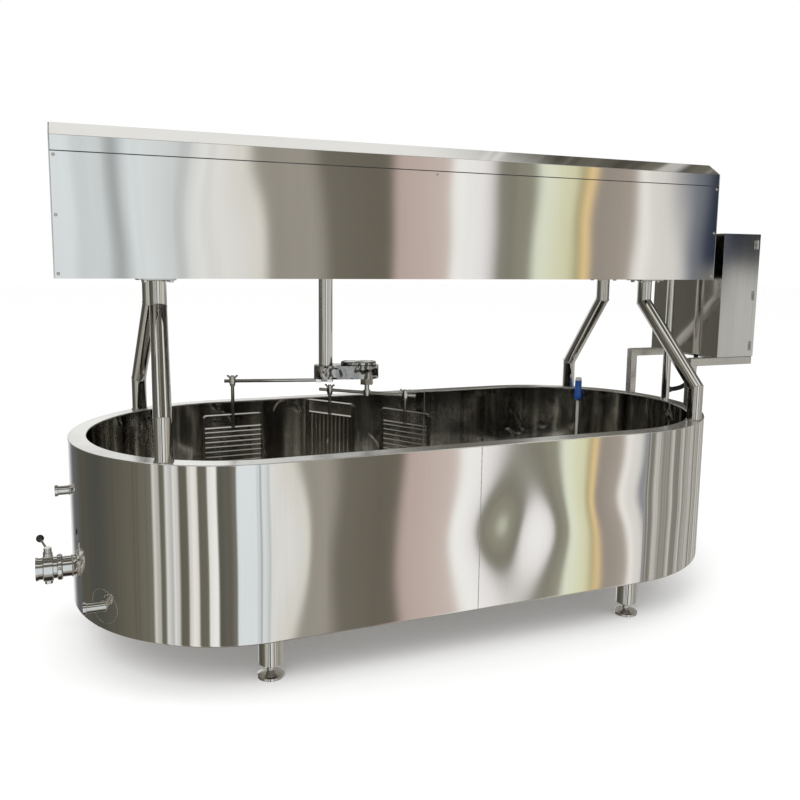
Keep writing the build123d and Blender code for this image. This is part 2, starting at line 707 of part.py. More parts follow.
# Welded beam frame: side tubes, end ties, arches and stops
with BuildPart() as beam_frame:
    for arch_x in ARCH_X:
        with BuildSketch(Plane.YZ.offset(TX + arch_x - ARCH_BAR / 2)):
            roof_outline(SHEET + FIT, FRAME_BOTTOM)
        extrude(amount=ARCH_BAR)
    with BuildSketch(Plane.YZ.offset(TX - CAP_END)):
        roof_outline(SHEET + FIT + ARCH_BAR, RAIL_TOP)
    extrude(amount=2 * CAP_END, mode=Mode.SUBTRACT)
    blocks(
        [(TX, 0)], FRAME_BOTTOM, 2 * CAP_END, 2 * TUBE_OUTER, SIDE_TUBE_HEIGHT, mode=Mode.SUBTRACT
    )
    with BuildSketch(Plane.YZ.offset(TX - CAP_END)):
        with Locations(*[(row * POST_HEAD_Y, FRAME_BOTTOM + SIDE_TUBE_HEIGHT / 2) for row in (-1, 1)]):
            Rectangle(SIDE_TUBE_DEPTH, SIDE_TUBE_HEIGHT)
            Rectangle(
                SIDE_TUBE_DEPTH - 2 * SIDE_TUBE_WALL,
                SIDE_TUBE_HEIGHT - 2 * SIDE_TUBE_WALL,
                mode=Mode.SUBTRACT,
            )
    extrude(amount=2 * CAP_END)
    blocks(
        [(TX + side * WIRING_POST_X, 0) for side in (-1, 1)],
        FRAME_BOTTOM,
        TIE_WIDTH,
        2 * TUBE_INNER,
        SIDE_TUBE_HEIGHT,
    )
    with Locations((WIRING_X, 0, FRAME_BOTTOM)):
        Cylinder(
            WIRING_INNER,
            SIDE_TUBE_HEIGHT,
            align=(Align.CENTER, Align.CENTER, Align.MIN),
            mode=Mode.SUBTRACT,
        )
    for stop_x, stop_side in STOPS:
        blocks(
            [(stop_x + stop_side * STOP_THICK / 2, 0)],
            RAIL_TOP,
            STOP_THICK,
            2 * POST_HEAD_Y,
            BUFFER_Z + BUFFER_OD / 2 - RAIL_TOP,
        )
save(beam_frame.part, "beam_frame")

# Rubber buffers on the stops
with BuildPart() as end_buffers:
    for stop_x, stop_side in STOPS:
        bars_out(
            [(row * BUFFER_Y, BUFFER_Z) for row in (-1, 1)],
            min(stop_x, stop_x - stop_side * BUFFER_LENGTH),
            BUFFER_OD / 2,
            BUFFER_LENGTH,
        )
save(end_buffers.part, "end_buffers")

# Screws that hold the side panels
SCREW_POINTS = [(TX + x, BEAM_BOTTOM + z) for x in (-SCREW_X, SCREW_X) for z in SCREW_ROWS]
SCREW_POINTS.append((TX, BEAM_BOTTOM + SCREW_ROWS[-1]))


def panel_screws_at(row):
    """Screws of one side panel, from their heads to the flange behind the panel."""
    with BuildSketch(Plane.XZ.offset(-row * BEAM_Y)) as heads:
        with Locations(*SCREW_POINTS):
            Circle(SCREW_OD / 2)
    extrude(heads.sketch, amount=-row * SCREW_RISE)
    with BuildSketch(Plane.XZ.offset(-row * (BEAM_Y - SHEET))) as shanks:
        with Locations(*SCREW_POINTS):
            Circle(SCREW_SHANK / 2)
    extrude(shanks.sketch, amount=-row * SHEET)


with BuildPart() as panel_screws:
    panel_screws_at(-1)
    panel_screws_at(1)
save(panel_screws.part, "panel_screws")


def side_panel(row):
    """Flat cover sheet with a return under the side tube: row is -1 front or 1 rear."""
    with BuildPart() as panel:
        with BuildSketch(Plane.XY.offset(BEAM_BOTTOM)):
            with Locations((TX, row * (BEAM_Y - SHEET / 2))):
                Rectangle(2 * (CAP_END - FIT), SHEET)
        extrude(amount=PANEL_HEIGHT - BUTT)
        with BuildSketch(Plane.XY.offset(BEAM_BOTTOM)):
            with Locations((TX, row * (BEAM_Y - (PANEL_RETURN + BEAM_Y - TUBE_OUTER) / 2))):
                Rectangle(2 * (CAP_END - FIT), PANEL_RETURN + BEAM_Y - TUBE_OUTER)
            with Locations(*[(TX + x, row * POST_HEAD_Y) for x in POST_HEAD_X]):
                Rectangle(HEAD_PLATE + 2 * FIT, HEAD_PLATE + 2 * FIT, mode=Mode.SUBTRACT)
        extrude(amount=SHEET - BUTT)
        with BuildSketch(Plane.XZ.offset(-row * BEAM_Y)):
            with Locations(*SCREW_POINTS):
                Circle(SCREW_SHANK / 2 + BUTT)
        extrude(amount=row * SHEET, mode=Mode.SUBTRACT)
    return panel.part


save(side_panel(-1), "beam_front_panel")
save(side_panel(1), "beam_rear_panel")

# Roof cap with two sloping edges
with BuildPart() as beam_roof_cap:
    with BuildSketch(Plane.YZ.offset(TX - CAP_END + FIT)):
        roof_outline(0, SEAM_Z)
    extrude(amount=2 * (CAP_END - FIT))
    with BuildSketch(Plane.YZ.offset(TX - CAP_END + FIT)):
        roof_outline(SHEET, SEAM_Z)
    extrude(amount=2 * (CAP_END - FIT), mode=Mode.SUBTRACT)
save(beam_roof_cap.part, "beam_roof_cap")

# End plates with a flange behind the panels
with BuildPart() as beam_end_plates:
    for end_side in (-1, 1):
        with BuildSketch(Plane.YZ.offset(TX + end_side * CAP_END)):
            roof_outline(0, BEAM_BOTTOM)
        extrude(amount=end_side * END_SHEET)
        with BuildSketch(Plane.YZ.offset(TX + end_side * CAP_END)):
            roof_outline(SHEET + FIT, RAIL_TOP)
        extrude(amount=-end_side * END_FLANGE)
        with BuildSketch(Plane.YZ.offset(TX + end_side * CAP_END)):
            roof_outline(SHEET + FIT + END_SHEET, RAIL_TOP)
        extrude(amount=-end_side * END_FLANGE, mode=Mode.SUBTRACT)
        for row in (-1, 1):
            blocks(
                [
                    (
                        TX + end_side * (CAP_END - END_FLANGE / 2),
                        row * (BEAM_Y - SHEET - FIT - END_SHEET / 2),
                    )
                ],
                FRAME_BOTTOM,
                END_FLANGE,
                END_SHEET,
                SIDE_TUBE_HEIGHT,
            )
save(beam_end_plates.part, "beam_end_plates")

# Carriage plate with the main shaft's bearing
with BuildPart() as carriage_plate:
    blocks([(SHAFT_GX, 0)], PLATE_Z, PLATE_LENGTH, PLATE_WIDTH, PLATE_THICK)
    bars_up([(SHAFT_GX, 0)], PLATE_Z - BEARING_DROP, BEARING_OD / 2, BEARING_DROP)
    with Locations((SHAFT_GX, 0, PLATE_Z - BEARING_DROP)):
        Cylinder(
            SHAFT_OD / 2 + SHAFT_FIT,
            BEARING_DROP + PLATE_THICK,
            align=(Align.CENTER, Align.CENTER, Align.MIN),
            mode=Mode.SUBTRACT,
        )
    blocks(
        [(DRIVE_X, 0)],
        PLATE_Z,
        TRAVEL_BOX_LENGTH + 2 * NOTCH_GAP,
        TRAVEL_BOX_WIDTH + 2 * NOTCH_GAP,
        PLATE_THICK,
        mode=Mode.SUBTRACT,
    )
save(carriage_plate.part, "carriage_plate")

# Bearing blocks that carry the axles
AXLES_X = (SHAFT_GX - AXLE_PITCH / 2, DRIVE_X)
BLOCK_DROP = AXLE_OD
with BuildPart() as bearing_blocks:
    blocks(
        [(x, row * BLOCK_Y) for x in AXLES_X for row in (-1, 1)],
        AXLE_Z - BLOCK_DROP,
        BLOCK_LENGTH,
        BLOCK_WIDTH,
        PLATE_Z - AXLE_Z + BLOCK_DROP,
    )
    for axle_x in AXLES_X:
        with BuildSketch(Plane.XZ):
            with Locations((axle_x, AXLE_Z)):
                Circle(AXLE_OD / 2 + AXLE_FIT)
        extrude(amount=PLATE_WIDTH, both=True, mode=Mode.SUBTRACT)
save(bearing_blocks.part, "bearing_blocks")

# Axles with their flanged wheels
WHEEL_Y = TUBE_INNER - WHEEL_SIDE_GAP


def axle(axle_x):
    """Axle along Y with a flanged wheel near each end."""
    with BuildPart() as shaft:
        for length, radius in (
            (WHEEL_Y + WHEEL_WIDTH + WHEEL_FLANGE_WIDTH, AXLE_OD / 2),
            (WHEEL_Y + WHEEL_WIDTH, WHEEL_OD / 2),
            (WHEEL_Y, WHEEL_OD / 2 + WHEEL_FLANGE),
        ):
            with BuildSketch(Plane.XZ):
                with Locations((axle_x, AXLE_Z)):
                    Circle(radius)
            extrude(amount=length, both=True)
            if radius > AXLE_OD / 2:
                with BuildSketch(Plane.XZ):
                    with Locations((axle_x, AXLE_Z)):
                        Circle(WHEEL_OD / 2 + WHEEL_FLANGE)
                        Circle(AXLE_OD / 2, mode=Mode.SUBTRACT)
                extrude(amount=WHEEL_Y - WHEEL_FLANGE_WIDTH, both=True, mode=Mode.SUBTRACT)
    return shaft.part


save(axle(AXLES_X[0]), "idle_axle")
save(axle(AXLES_X[1]), "drive_axle")


def motor(x, y, level, radius, height, cowl):
    """Upright motor with cooling fins and a fan cowl on top."""
    bars_up([(x, y)], level, radius - FIN_DEPTH, height - cowl)
    with BuildSketch(Plane.XY.offset(level + FIN_DEPTH)) as fins:
        with Locations((x, y)):
            with PolarLocations(radius - FIN_DEPTH, MOTOR_FINS):
                Rectangle(2 * FIN_DEPTH, FIN_DEPTH / 2)
    extrude(fins.sketch, amount=height - cowl - FIN_DEPTH)
    bars_up([(x, y)], level + height - cowl, radius + FIN_DEPTH / 3, cowl)


# Agitator gearmotor, with the socket for the main shaft
GEARBOX_TOP = PLATE_TOP + GEARBOX_HEIGHT
with BuildPart() as agitator_gearmotor:
    blocks([(SHAFT_GX, 0)], PLATE_TOP, GEARBOX_LENGTH, GEARBOX_WIDTH, GEARBOX_HEIGHT)
    chamfer(agitator_gearmotor.edges().filter_by(Axis.Z), FIN_DEPTH)
    motor(SHAFT_GX, 0, GEARBOX_TOP, MOTOR_OD / 2, MOTOR_HEIGHT, COWL_HEIGHT)
    with Locations((SHAFT_GX, 0, PLATE_TOP)):
        Cylinder(
            SHAFT_OD / 2 + SHAFT_FIT,
            SHAFT_SOCKET,
            align=(Align.CENTER, Align.CENTER, Align.MIN),
            mode=Mode.SUBTRACT,
        )
save(agitator_gearmotor.part, "agitator_gearmotor")

# Travel gearmotor around the drive axle
with BuildPart() as travel_gearmotor:
    blocks(
        [(DRIVE_X, 0)],
        AXLE_Z - TRAVEL_BOX_DROP,
        TRAVEL_BOX_LENGTH,
        TRAVEL_BOX_WIDTH,
        TRAVEL_BOX_DROP + TRAVEL_BOX_RISE,
    )
    motor(
        DRIVE_X, 0, AXLE_Z + TRAVEL_BOX_RISE, TRAVEL_MOTOR_OD / 2, TRAVEL_MOTOR_HEIGHT, COWL_HEIGHT
    )
    with BuildSketch(Plane.XZ):
        with Locations((DRIVE_X, AXLE_Z)):
            Circle(AXLE_OD / 2 + AXLE_FIT)
    extrude(amount=TRAVEL_BOX_WIDTH, both=True, mode=Mode.SUBTRACT)
save(travel_gearmotor.part, "travel_gearmotor")

# Fixed rod and pulley inside the hollow shaft
PULLEY_HEIGHT = BELT_WIDTH + 2 * PULLEY_FLANGE
with BuildPart() as sun_pulley:
    bars_up(
        [(SHAFT_GX, 0)],
        BELT_Z - PULLEY_FLANGE,
        SUN_ROD_OD / 2,
        PLATE_TOP + SHAFT_SOCKET - BELT_Z + PULLEY_FLANGE,
    )
    bars_up([(SHAFT_GX, 0)], BELT_Z - PULLEY_FLANGE, SUN_BELT_RADIUS + PULLEY_LIP, PULLEY_FLANGE)
    bars_up([(SHAFT_GX, 0)], BELT_Z + BELT_WIDTH, SUN_BELT_RADIUS + PULLEY_LIP, PULLEY_FLANGE)
    bars_up([(SHAFT_GX, 0)], BELT_Z, SUN_BELT_RADIUS, BELT_WIDTH)
save(sun_pulley.part, "sun_pulley")

# Hollow main shaft
with BuildPart() as main_shaft:
    bars_up(
        [(SHAFT_GX, 0)],
        CASING_TOP,
        SHAFT_OD / 2,
        PLATE_TOP + SHAFT_SOCKET - FIT - CASING_TOP,
        SHAFT_OD / 2 - SHAFT_WALL,
    )
save(main_shaft.part, "main_shaft")

# Oblong casing of the belt drive
CASING_MID = along(SHAFT_GX, 0, CASING_ANGLE, CENTRE_DISTANCE / 2)
COVER_MID = along(SHAFT_GX, 0, CASING_ANGLE, (COVER_START + CENTRE_DISTANCE) / 2)
COVER_SPAN = CENTRE_DISTANCE - COVER_START
with BuildPart() as head_casing:
    with BuildSketch(Plane.XY.offset(CASING_BOTTOM)):
        with Locations(CASING_MID):
            SlotCenterToCenter(CENTRE_DISTANCE, 2 * CASING_RADIUS, rotation=CASING_ANGLE)
    extrude(amount=CASING_HEIGHT)
    with BuildSketch(Plane.XY.offset(CASING_BOTTOM + CASING_WALL)):
        with Locations(CASING_MID):
            SlotCenterToCenter(
                CENTRE_DISTANCE, 2 * (CASING_RADIUS - CASING_WALL), rotation=CASING_ANGLE
            )
    extrude(amount=CASING_HEIGHT - 2 * CASING_WALL, mode=Mode.SUBTRACT)
    bars_up([(SPINDLE_X, SPINDLE_Y)], CASING_BOTTOM, CASING_BOSS_OD / 2, CASING_BOSS)
    with BuildSketch(Plane.XY.offset(CASING_TOP)):
        with Locations(COVER_MID):
            SlotCenterToCenter(
                COVER_SPAN, 2 * (COVER_RADIUS - 2 * COVER_THICK), rotation=CASING_ANGLE
            )
        with Locations((SHAFT_GX, 0)):
            Circle(SHAFT_OD / 2 - SHAFT_WALL)
    extrude(amount=-CASING_WALL, mode=Mode.SUBTRACT)
    with BuildSketch(Plane.XY.offset(CASING_BOTTOM)):
        with Locations((SPINDLE_X, SPINDLE_Y)):
            Circle(SPINDLE_OD / 2 + SPINDLE_FIT)
    extrude(amount=CASING_BOSS, mode=Mode.SUBTRACT)
save(head_casing.part, "head_casing")

# Raised cover over the planet pulley
with BuildPart() as casing_cover:
    with BuildSketch(Plane.XY.offset(CASING_TOP)):
        with Locations(COVER_MID):
            SlotCenterToCenter(COVER_SPAN, 2 * COVER_RADIUS, rotation=CASING_ANGLE)
    extrude(amount=COVER_RAISE)
    chamfer(casing_cover.faces().sort_by(Axis.Z)[-1].edges(), COVER_THICK / 2)
    with BuildSketch(Plane.XY.offset(CASING_TOP)):
        with Locations(COVER_MID):
            SlotCenterToCenter(COVER_SPAN, 2 * (COVER_RADIUS - COVER_THICK), rotation=CASING_ANGLE)
    extrude(amount=COVER_RAISE - COVER_THICK, mode=Mode.SUBTRACT)
save(casing_cover.part, "casing_cover")

# Belt around both pulleys
PLANET_RADIUS = SUN_BELT_RADIUS / PLANET_RATIO


def belt_outline(clearance):
    """Hull of two circles, a clearance outside the pulleys."""
    with Locations((SHAFT_GX, 0)):
        Circle(SUN_BELT_RADIUS + clearance)
    with Locations((SPINDLE_X, SPINDLE_Y)):
        Circle(PLANET_RADIUS + clearance)
    make_hull()


with BuildPart() as drive_belt:
    with BuildSketch(Plane.XY.offset(BELT_Z + FIT)):
        belt_outline(BELT_FIT + BELT_THICK)
    extrude(amount=BELT_WIDTH - 2 * FIT)
    with BuildSketch(Plane.XY.offset(BELT_Z + FIT)):
        belt_outline(BELT_FIT)
    extrude(amount=BELT_WIDTH - 2 * FIT, mode=Mode.SUBTRACT)
save(drive_belt.part, "drive_belt")

# Spindle with planet pulley, nut and hub
with BuildPart() as planet_spindle:
    bars_up([(SPINDLE_X, SPINDLE_Y)], HUB_TOP, SPINDLE_OD / 2, BELT_Z + PULLEY_HEIGHT - HUB_TOP)
    bars_up([(SPINDLE_X, SPINDLE_Y)], BELT_Z, PLANET_RADIUS, BELT_WIDTH)
    for flange_z in (BELT_Z - PULLEY_FLANGE, BELT_Z + BELT_WIDTH):
        bars_up([(SPINDLE_X, SPINDLE_Y)], flange_z, PLANET_RADIUS + PULLEY_LIP, PULLEY_FLANGE)
    with BuildSketch(Plane.XY.offset(CASING_BOTTOM - SPINDLE_NUT)):
        with Locations((SPINDLE_X, SPINDLE_Y)):
            RegularPolygon(SPINDLE_NUT_ACROSS / 2, 6)
    extrude(amount=SPINDLE_NUT - FIT)
    bars_up([(SPINDLE_X, SPINDLE_Y)], HUB_TOP - HUB_HEIGHT, HUB_OD / 2, HUB_HEIGHT)
    with BuildSketch(
        Plane(
            origin=(SPINDLE_X, SPINDLE_Y, SHORT_ARM_Z),
            z_dir=(cos(radians(SHORT_ARM_ANGLE)), sin(radians(SHORT_ARM_ANGLE)), 0),
        )
    ):
        Circle(ARM_OD / 2 + ROD_FIT)
    extrude(amount=HUB_OD, both=True, mode=Mode.SUBTRACT)
save(planet_spindle.part, "planet_spindle")


def tool_arm(x, y, z, angle, inner, outer, eyes):
    """Round arm from one reach to another, with bored eyes for the harp rods."""
    start = along(x, y, angle, inner)
    points = [along(x, y, angle, reach) for reach in eyes]
    with BuildSketch(
        Plane(origin=(*start, z), z_dir=(cos(radians(angle)), sin(radians(angle)), 0))
    ) as section:
        Circle(ARM_OD / 2)
    extrude(section.sketch, amount=outer - inner)
    bars_up(points, z - EYE_HEIGHT / 2, EYE_OD / 2, EYE_HEIGHT)
    with BuildSketch(Plane.XY.offset(z)) as bores:
        with Locations(*points):
            Circle(ROD_OD / 2 + ROD_FIT)
    extrude(bores.sketch, amount=EYE_HEIGHT, both=True, mode=Mode.SUBTRACT)


# Long arm on two saddles under the casing
LONG_ARM_ANGLE = 180 + CASING_ANGLE
with BuildPart() as long_arm:
    tool_arm(
        SHAFT_GX, 0, LONG_ARM_Z, LONG_ARM_ANGLE, -LONG_ARM_INNER, LONG_ARM_REACH, [LONG_ARM_ROD]
    )
    blocks(
        [along(SHAFT_GX, 0, LONG_ARM_ANGLE, reach) for reach in (-LONG_ARM_INNER / 2, LONG_ARM_INNER)],
        LONG_ARM_Z - ARM_OD / 2 - STRIP / 2,
        EYE_HEIGHT,
        EYE_OD,
        CASING_BOTTOM - LONG_ARM_Z + ARM_OD / 2 + STRIP / 2,
        LONG_ARM_ANGLE,
    )
save(long_arm.part, "long_arm")

# Short arm through the spindle's hub
with BuildPart() as short_arm:
    tool_arm(
        SPINDLE_X,
        SPINDLE_Y,
        SHORT_ARM_Z,
        SHORT_ARM_ANGLE,
        -SHORT_ARM_HALF,
        SHORT_ARM_HALF,
        [-SHORT_ARM_ROD, SHORT_ARM_ROD],
    )
save(short_arm.part, "short_arm")


def wing_nut(x, y, seat, angle):
    """Wing nut around a harp rod, on top of an arm's eye."""
    wings = Plane(
        origin=(x, y, seat),
        x_dir=(cos(radians(angle)), sin(radians(angle)), 0),
        z_dir=(sin(radians(angle)), -cos(radians(angle)), 0),
    )
    with BuildSketch(wings) as outline:
        Polygon(
            (-NUT_OD / 2, 0),
            (NUT_OD / 2, 0),
            (WING_SPAN / 2, NUT_HEIGHT),
            (WING_SPAN / 2, WING_HEIGHT),
            (WING_ROOT / 2, WING_HEIGHT),
            (NUT_OD / 2, NUT_HEIGHT),
            (-NUT_OD / 2, NUT_HEIGHT),
            (-WING_ROOT / 2, WING_HEIGHT),
            (-WING_SPAN / 2, WING_HEIGHT),
            (-WING_SPAN / 2, NUT_HEIGHT),
            align=None,
        )
    extrude(outline.sketch, amount=WING_THICK / 2, both=True)
    bars_up([(x, y)], seat, NUT_OD / 2, NUT_HEIGHT)
    with BuildSketch(Plane.XY.offset(seat)) as bore:
        with Locations((x, y)):
            Circle(ROD_OD / 2 + ROD_FIT)
    extrude(bore.sketch, amount=WING_HEIGHT, mode=Mode.SUBTRACT)


HARP_1_AT = along(SHAFT_GX, 0, LONG_ARM_ANGLE, LONG_ARM_ROD)
HARP_2_AT = along(SPINDLE_X, SPINDLE_Y, SHORT_ARM_ANGLE, -SHORT_ARM_ROD)
HARP_3_AT = along(SPINDLE_X, SPINDLE_Y, SHORT_ARM_ANGLE, SHORT_ARM_ROD)
with BuildPart() as wing_nut_long:
    wing_nut(*HARP_1_AT, LONG_ARM_Z + EYE_HEIGHT / 2, LONG_ARM_ANGLE)
save(wing_nut_long.part, "wing_nut_long")
with BuildPart() as wing_nuts_short:
    wing_nut(*HARP_2_AT, SHORT_ARM_Z + EYE_HEIGHT / 2, SHORT_ARM_ANGLE)
    wing_nut(*HARP_3_AT, SHORT_ARM_Z + EYE_HEIGHT / 2, SHORT_ARM_ANGLE)
save(wing_nuts_short.part, "wing_nuts_short")


def harp(at, angle, top, arm_z, upright):
    """Curd-cutting harp: a frame of bent strip with thin blades, hung from a round rod."""
    face = Plane(
        origin=(*at, 0),
        x_dir=(cos(radians(angle)), sin(radians(angle)), 0),
        z_dir=(sin(radians(angle)), -cos(radians(angle)), 0),
    )
    bar_z = top - HARP_BAR_DROP
    reach = HARP_WIDTH - STRIP
    if upright:
        count = int((HARP_WIDTH - 2 * STRIP) / BLADE_PITCH)
        spots = [((i - (count - 1) / 2) * BLADE_PITCH, (bar_z + HARP_BOTTOM) / 2) for i in range(count)]
        size = (BLADE_THICK, bar_z - HARP_BOTTOM)
    else:
        count = int((bar_z - HARP_BOTTOM - 2 * STRIP) / BLADE_PITCH)
        spots = [(0, HARP_BOTTOM + (i + 1) * BLADE_PITCH) for i in range(count)]
        size = (reach, BLADE_THICK)
    with BuildPart() as frame:
        with BuildSketch(face):
            with Locations((0, (top + HARP_BOTTOM) / 2)):
                RectangleRounded(HARP_WIDTH, top - HARP_BOTTOM, HARP_CORNER)
                RectangleRounded(
                    HARP_WIDTH - 2 * STRIP,
                    top - HARP_BOTTOM - 2 * STRIP,
                    HARP_CORNER - STRIP,
                    mode=Mode.SUBTRACT,
                )
            with Locations((0, bar_z)):
                Rectangle(reach, STRIP)
        extrude(amount=HARP_DEPTH / 2, both=True)
        with BuildSketch(face):
            with Locations(*spots):
                Rectangle(*size)
        extrude(amount=BLADE_DEPTH / 2, both=True)
        eye_under = arm_z - EYE_HEIGHT / 2 - FIT
        rod_top = arm_z + EYE_HEIGHT / 2 + NUT_HEIGHT + ROD_TAIL
        bars_up([at], bar_z, ROD_OD / 2, rod_top - bar_z)
        bars_up([at], eye_under - NUT_HEIGHT, NUT_OD / 2, NUT_HEIGHT)
    return frame.part


save(harp(HARP_1_AT, HARP_1_ANGLE, HARP_1_TOP, LONG_ARM_Z, False), "harp_1")
save(harp(HARP_2_AT, HARP_2_ANGLE, HARP_2_TOP, SHORT_ARM_Z, True), "harp_2")
save(harp(HARP_3_AT, HARP_3_ANGLE, HARP_3_TOP, SHORT_ARM_Z, False), "harp_3")

# Bracket of square tube from the rim to the cabinet
RAIL_LENGTH = BRACKET_END - BRACKET_X
with BuildPart() as box_bracket:
    blocks(
        [(TX + BRACKET_X, row * BRACKET_Y) for row in (-1, 1)],
        RIM_HEIGHT,
        BRACKET_TUBE,
        BRACKET_TUBE,
        CABINET_BOTTOM - RIM_HEIGHT,
    )
    blocks(
        [(TX + BRACKET_X + RAIL_LENGTH / 2, row * BRACKET_Y) for row in (-1, 1)],
        CABINET_BOTTOM - BRACKET_TUBE,
        RAIL_LENGTH,
        BRACKET_TUBE,
        BRACKET_TUBE,
    )
    blocks(
        [(TX + BRACKET_END - BRACKET_TUBE / 2, 0)],
        CABINET_BOTTOM - BRACKET_TUBE,
        BRACKET_TUBE,
        2 * BRACKET_Y,
        BRACKET_TUBE,
    )
save(box_bracket.part, "box_bracket")


def hinge_half(direction, levels):
    """Knuckles and leaves of the door hinges, with the leaves to one side of the pins."""
    with BuildSketch() as section:
        with Locations((DOOR_X - DOOR_GAP / 2, HINGE_Y)):
            Circle(HINGE_OD / 2)
        with Locations((DOOR_X - DOOR_GAP / 2 + direction * HINGE_LEAF_WIDTH / 4, HINGE_Y + HINGE_OD / 2)):
            Rectangle(HINGE_LEAF_WIDTH / 2, HINGE_LEAF, align=(Align.CENTER, Align.MAX))
        with Locations((DOOR_X - DOOR_GAP / 2, HINGE_Y)):
            Circle(HINGE_PIN / 2 + HINGE_FIT, mode=Mode.SUBTRACT)
    for level, height in levels:
        extrude(section.sketch.moved(Location((0, 0, level))), amount=height)


# Control cabinet with a return around its open front
HINGE_LEVELS = [
    DOOR_MID_Z + k * (CABINET_HEIGHT / 2 - HINGE_INSET + HINGE_HEIGHT / 3) - HINGE_HEIGHT / 2
    for k in (-1, 0, 1)
]
KNUCKLE = HINGE_HEIGHT / 3
CABINET_MID = TX + CABINET_X + CABINET_DEPTH / 2
GLAND_X = WIRING_X + WIRING_INNER + CONDUIT_RUN * (
    1 + cos(radians(CONDUIT_TURN)) + cos(radians(2 * CONDUIT_TURN))
)
with BuildPart() as control_box:
    blocks([(CABINET_MID, 0)], CABINET_BOTTOM, CABINET_DEPTH, CABINET_WIDTH, CABINET_HEIGHT)
    blocks(
        [(CABINET_MID, 0)],
        CABINET_BOTTOM + CABINET_WALL,
        CABINET_DEPTH - 2 * CABINET_WALL,
        CABINET_WIDTH - 2 * CABINET_WALL,
        CABINET_HEIGHT - 2 * CABINET_WALL,
        mode=Mode.SUBTRACT,
    )
    blocks(
        [(CABINET_MID + CABINET_DEPTH / 2, 0)],
        CABINET_BOTTOM + CABINET_RETURN,
        3 * CABINET_WALL,
        CABINET_WIDTH - 2 * CABINET_RETURN,
        CABINET_HEIGHT - 2 * CABINET_RETURN,
        mode=Mode.SUBTRACT,
    )
    with BuildSketch(Plane.XY.offset(CABINET_BOTTOM)):
        with Locations((GLAND_X, 0)):
            Circle(CONDUIT_OD / 2 + FIT)
    extrude(amount=CABINET_WALL, mode=Mode.SUBTRACT)
    hinge_half(-1, [(z, KNUCKLE - BUTT) for z in HINGE_LEVELS])
    hinge_half(-1, [(z + 2 * KNUCKLE + BUTT, KNUCKLE - BUTT) for z in HINGE_LEVELS])
save(control_box.part, "control_box")

# Hinge pins
with BuildPart() as hinge_pins:
    for pin_z in HINGE_LEVELS:
        bars_up([(DOOR_X - DOOR_GAP / 2, HINGE_Y)], pin_z, HINGE_PIN / 2, HINGE_HEIGHT)
        bars_up([(DOOR_X - DOOR_GAP / 2, HINGE_Y)], pin_z + HINGE_HEIGHT, HINGE_OD / 2, HINGE_LEAF)
        bars_up([(DOOR_X - DOOR_GAP / 2, HINGE_Y)], pin_z - HINGE_LEAF, HINGE_OD / 2, HINGE_LEAF)
save(hinge_pins.part, "hinge_pins")

# Chassis plate inside the cabinet
BACK_X = TX + CABINET_X + CABINET_WALL
with BuildPart() as mounting_plate:
    with BuildSketch(Plane.YZ.offset(BACK_X + CHASSIS_GAP)):
        with Locations((0, DOOR_MID_Z)):
            Rectangle(CABINET_WIDTH - 4 * CABINET_RETURN, CABINET_HEIGHT - 4 * CABINET_RETURN)
    extrude(amount=CHASSIS_THICK)
    bars_out(
        [
            (
                y * (CABINET_WIDTH / 2 - 3 * CABINET_RETURN),
                DOOR_MID_Z + z * (CABINET_HEIGHT / 2 - 3 * CABINET_RETURN),
            )
            for y in (-1, 1)
            for z in (-1, 1)
        ],
        BACK_X,
        CHASSIS_GAP / 2,
        CHASSIS_GAP + CHASSIS_THICK,
    )
save(mounting_plate.part, "mounting_plate")

# Cabinet door, a shallow pan with openings for the controls
LOCK_Y = CABINET_WIDTH / 2 - LOCK_EDGE
LAMP_POINTS = [(row * CONTROL_PITCH / 2, DOOR_MID_Z + CONTROL_ROW) for row in (-1, 1)]
BUTTON_POINTS = [(row * CONTROL_PITCH / 2, DOOR_MID_Z + CONTROL_ROW / 2) for row in (-1, 1)]
ESTOP_POINT = (0, DOOR_MID_Z)
with BuildPart() as control_door:
    blocks([(DOOR_X + DOOR_THICK / 2, 0)], CABINET_BOTTOM, DOOR_THICK, CABINET_WIDTH, CABINET_HEIGHT)
    blocks(
        [(DOOR_X + (DOOR_THICK - DOOR_WALL) / 2, 0)],
        CABINET_BOTTOM + DOOR_WALL,
        DOOR_THICK - DOOR_WALL,
        CABINET_WIDTH - 2 * DOOR_WALL,
        CABINET_HEIGHT - 2 * DOOR_WALL,
        mode=Mode.SUBTRACT,
    )
    bars_out(
        [*BUTTON_POINTS, ESTOP_POINT],
        DOOR_FACE,
        BUTTON_BEZEL_OD / 2,
        BUTTON_BEZEL,
        BUTTON_OD / 2,
    )
    bars_out(
        [*BUTTON_POINTS, ESTOP_POINT],
        DOOR_FACE - DOOR_WALL,
        BUTTON_OD / 2 + BUTTON_FIT,
        DOOR_WALL + BUTTON_BEZEL,
        mode=Mode.SUBTRACT,
    )
    bars_out(LAMP_POINTS, DOOR_FACE - DOOR_WALL, LAMP_OD / 2 + FIT, DOOR_WALL, mode=Mode.SUBTRACT)
    bars_out(
        [(LOCK_Y, DOOR_MID_Z)],
        DOOR_FACE - DOOR_WALL,
        LOCK_OD / 2 + LOCK_FIT,
        DOOR_WALL,
        mode=Mode.SUBTRACT,
    )
    hinge_half(1, [(z + KNUCKLE, KNUCKLE) for z in HINGE_LEVELS])
save(control_door.part, "control_door")

# Pilot lamps seated on the door
with BuildPart() as pilot_lamps:
    bars_out(LAMP_POINTS, DOOR_FACE, BUTTON_BEZEL_OD / 2, BUTTON_BEZEL)
    bars_out(LAMP_POINTS, DOOR_FACE - DOOR_WALL - BUTTON_BEZEL, LAMP_OD / 2, BUTTON_BEZEL + LAMP_RISE)
    fillet(pilot_lamps.faces().filter_by(Plane.YZ).sort_by(Axis.X)[-1].edges(), BUTTON_BEZEL)
save(pilot_lamps.part, "pilot_lamps")

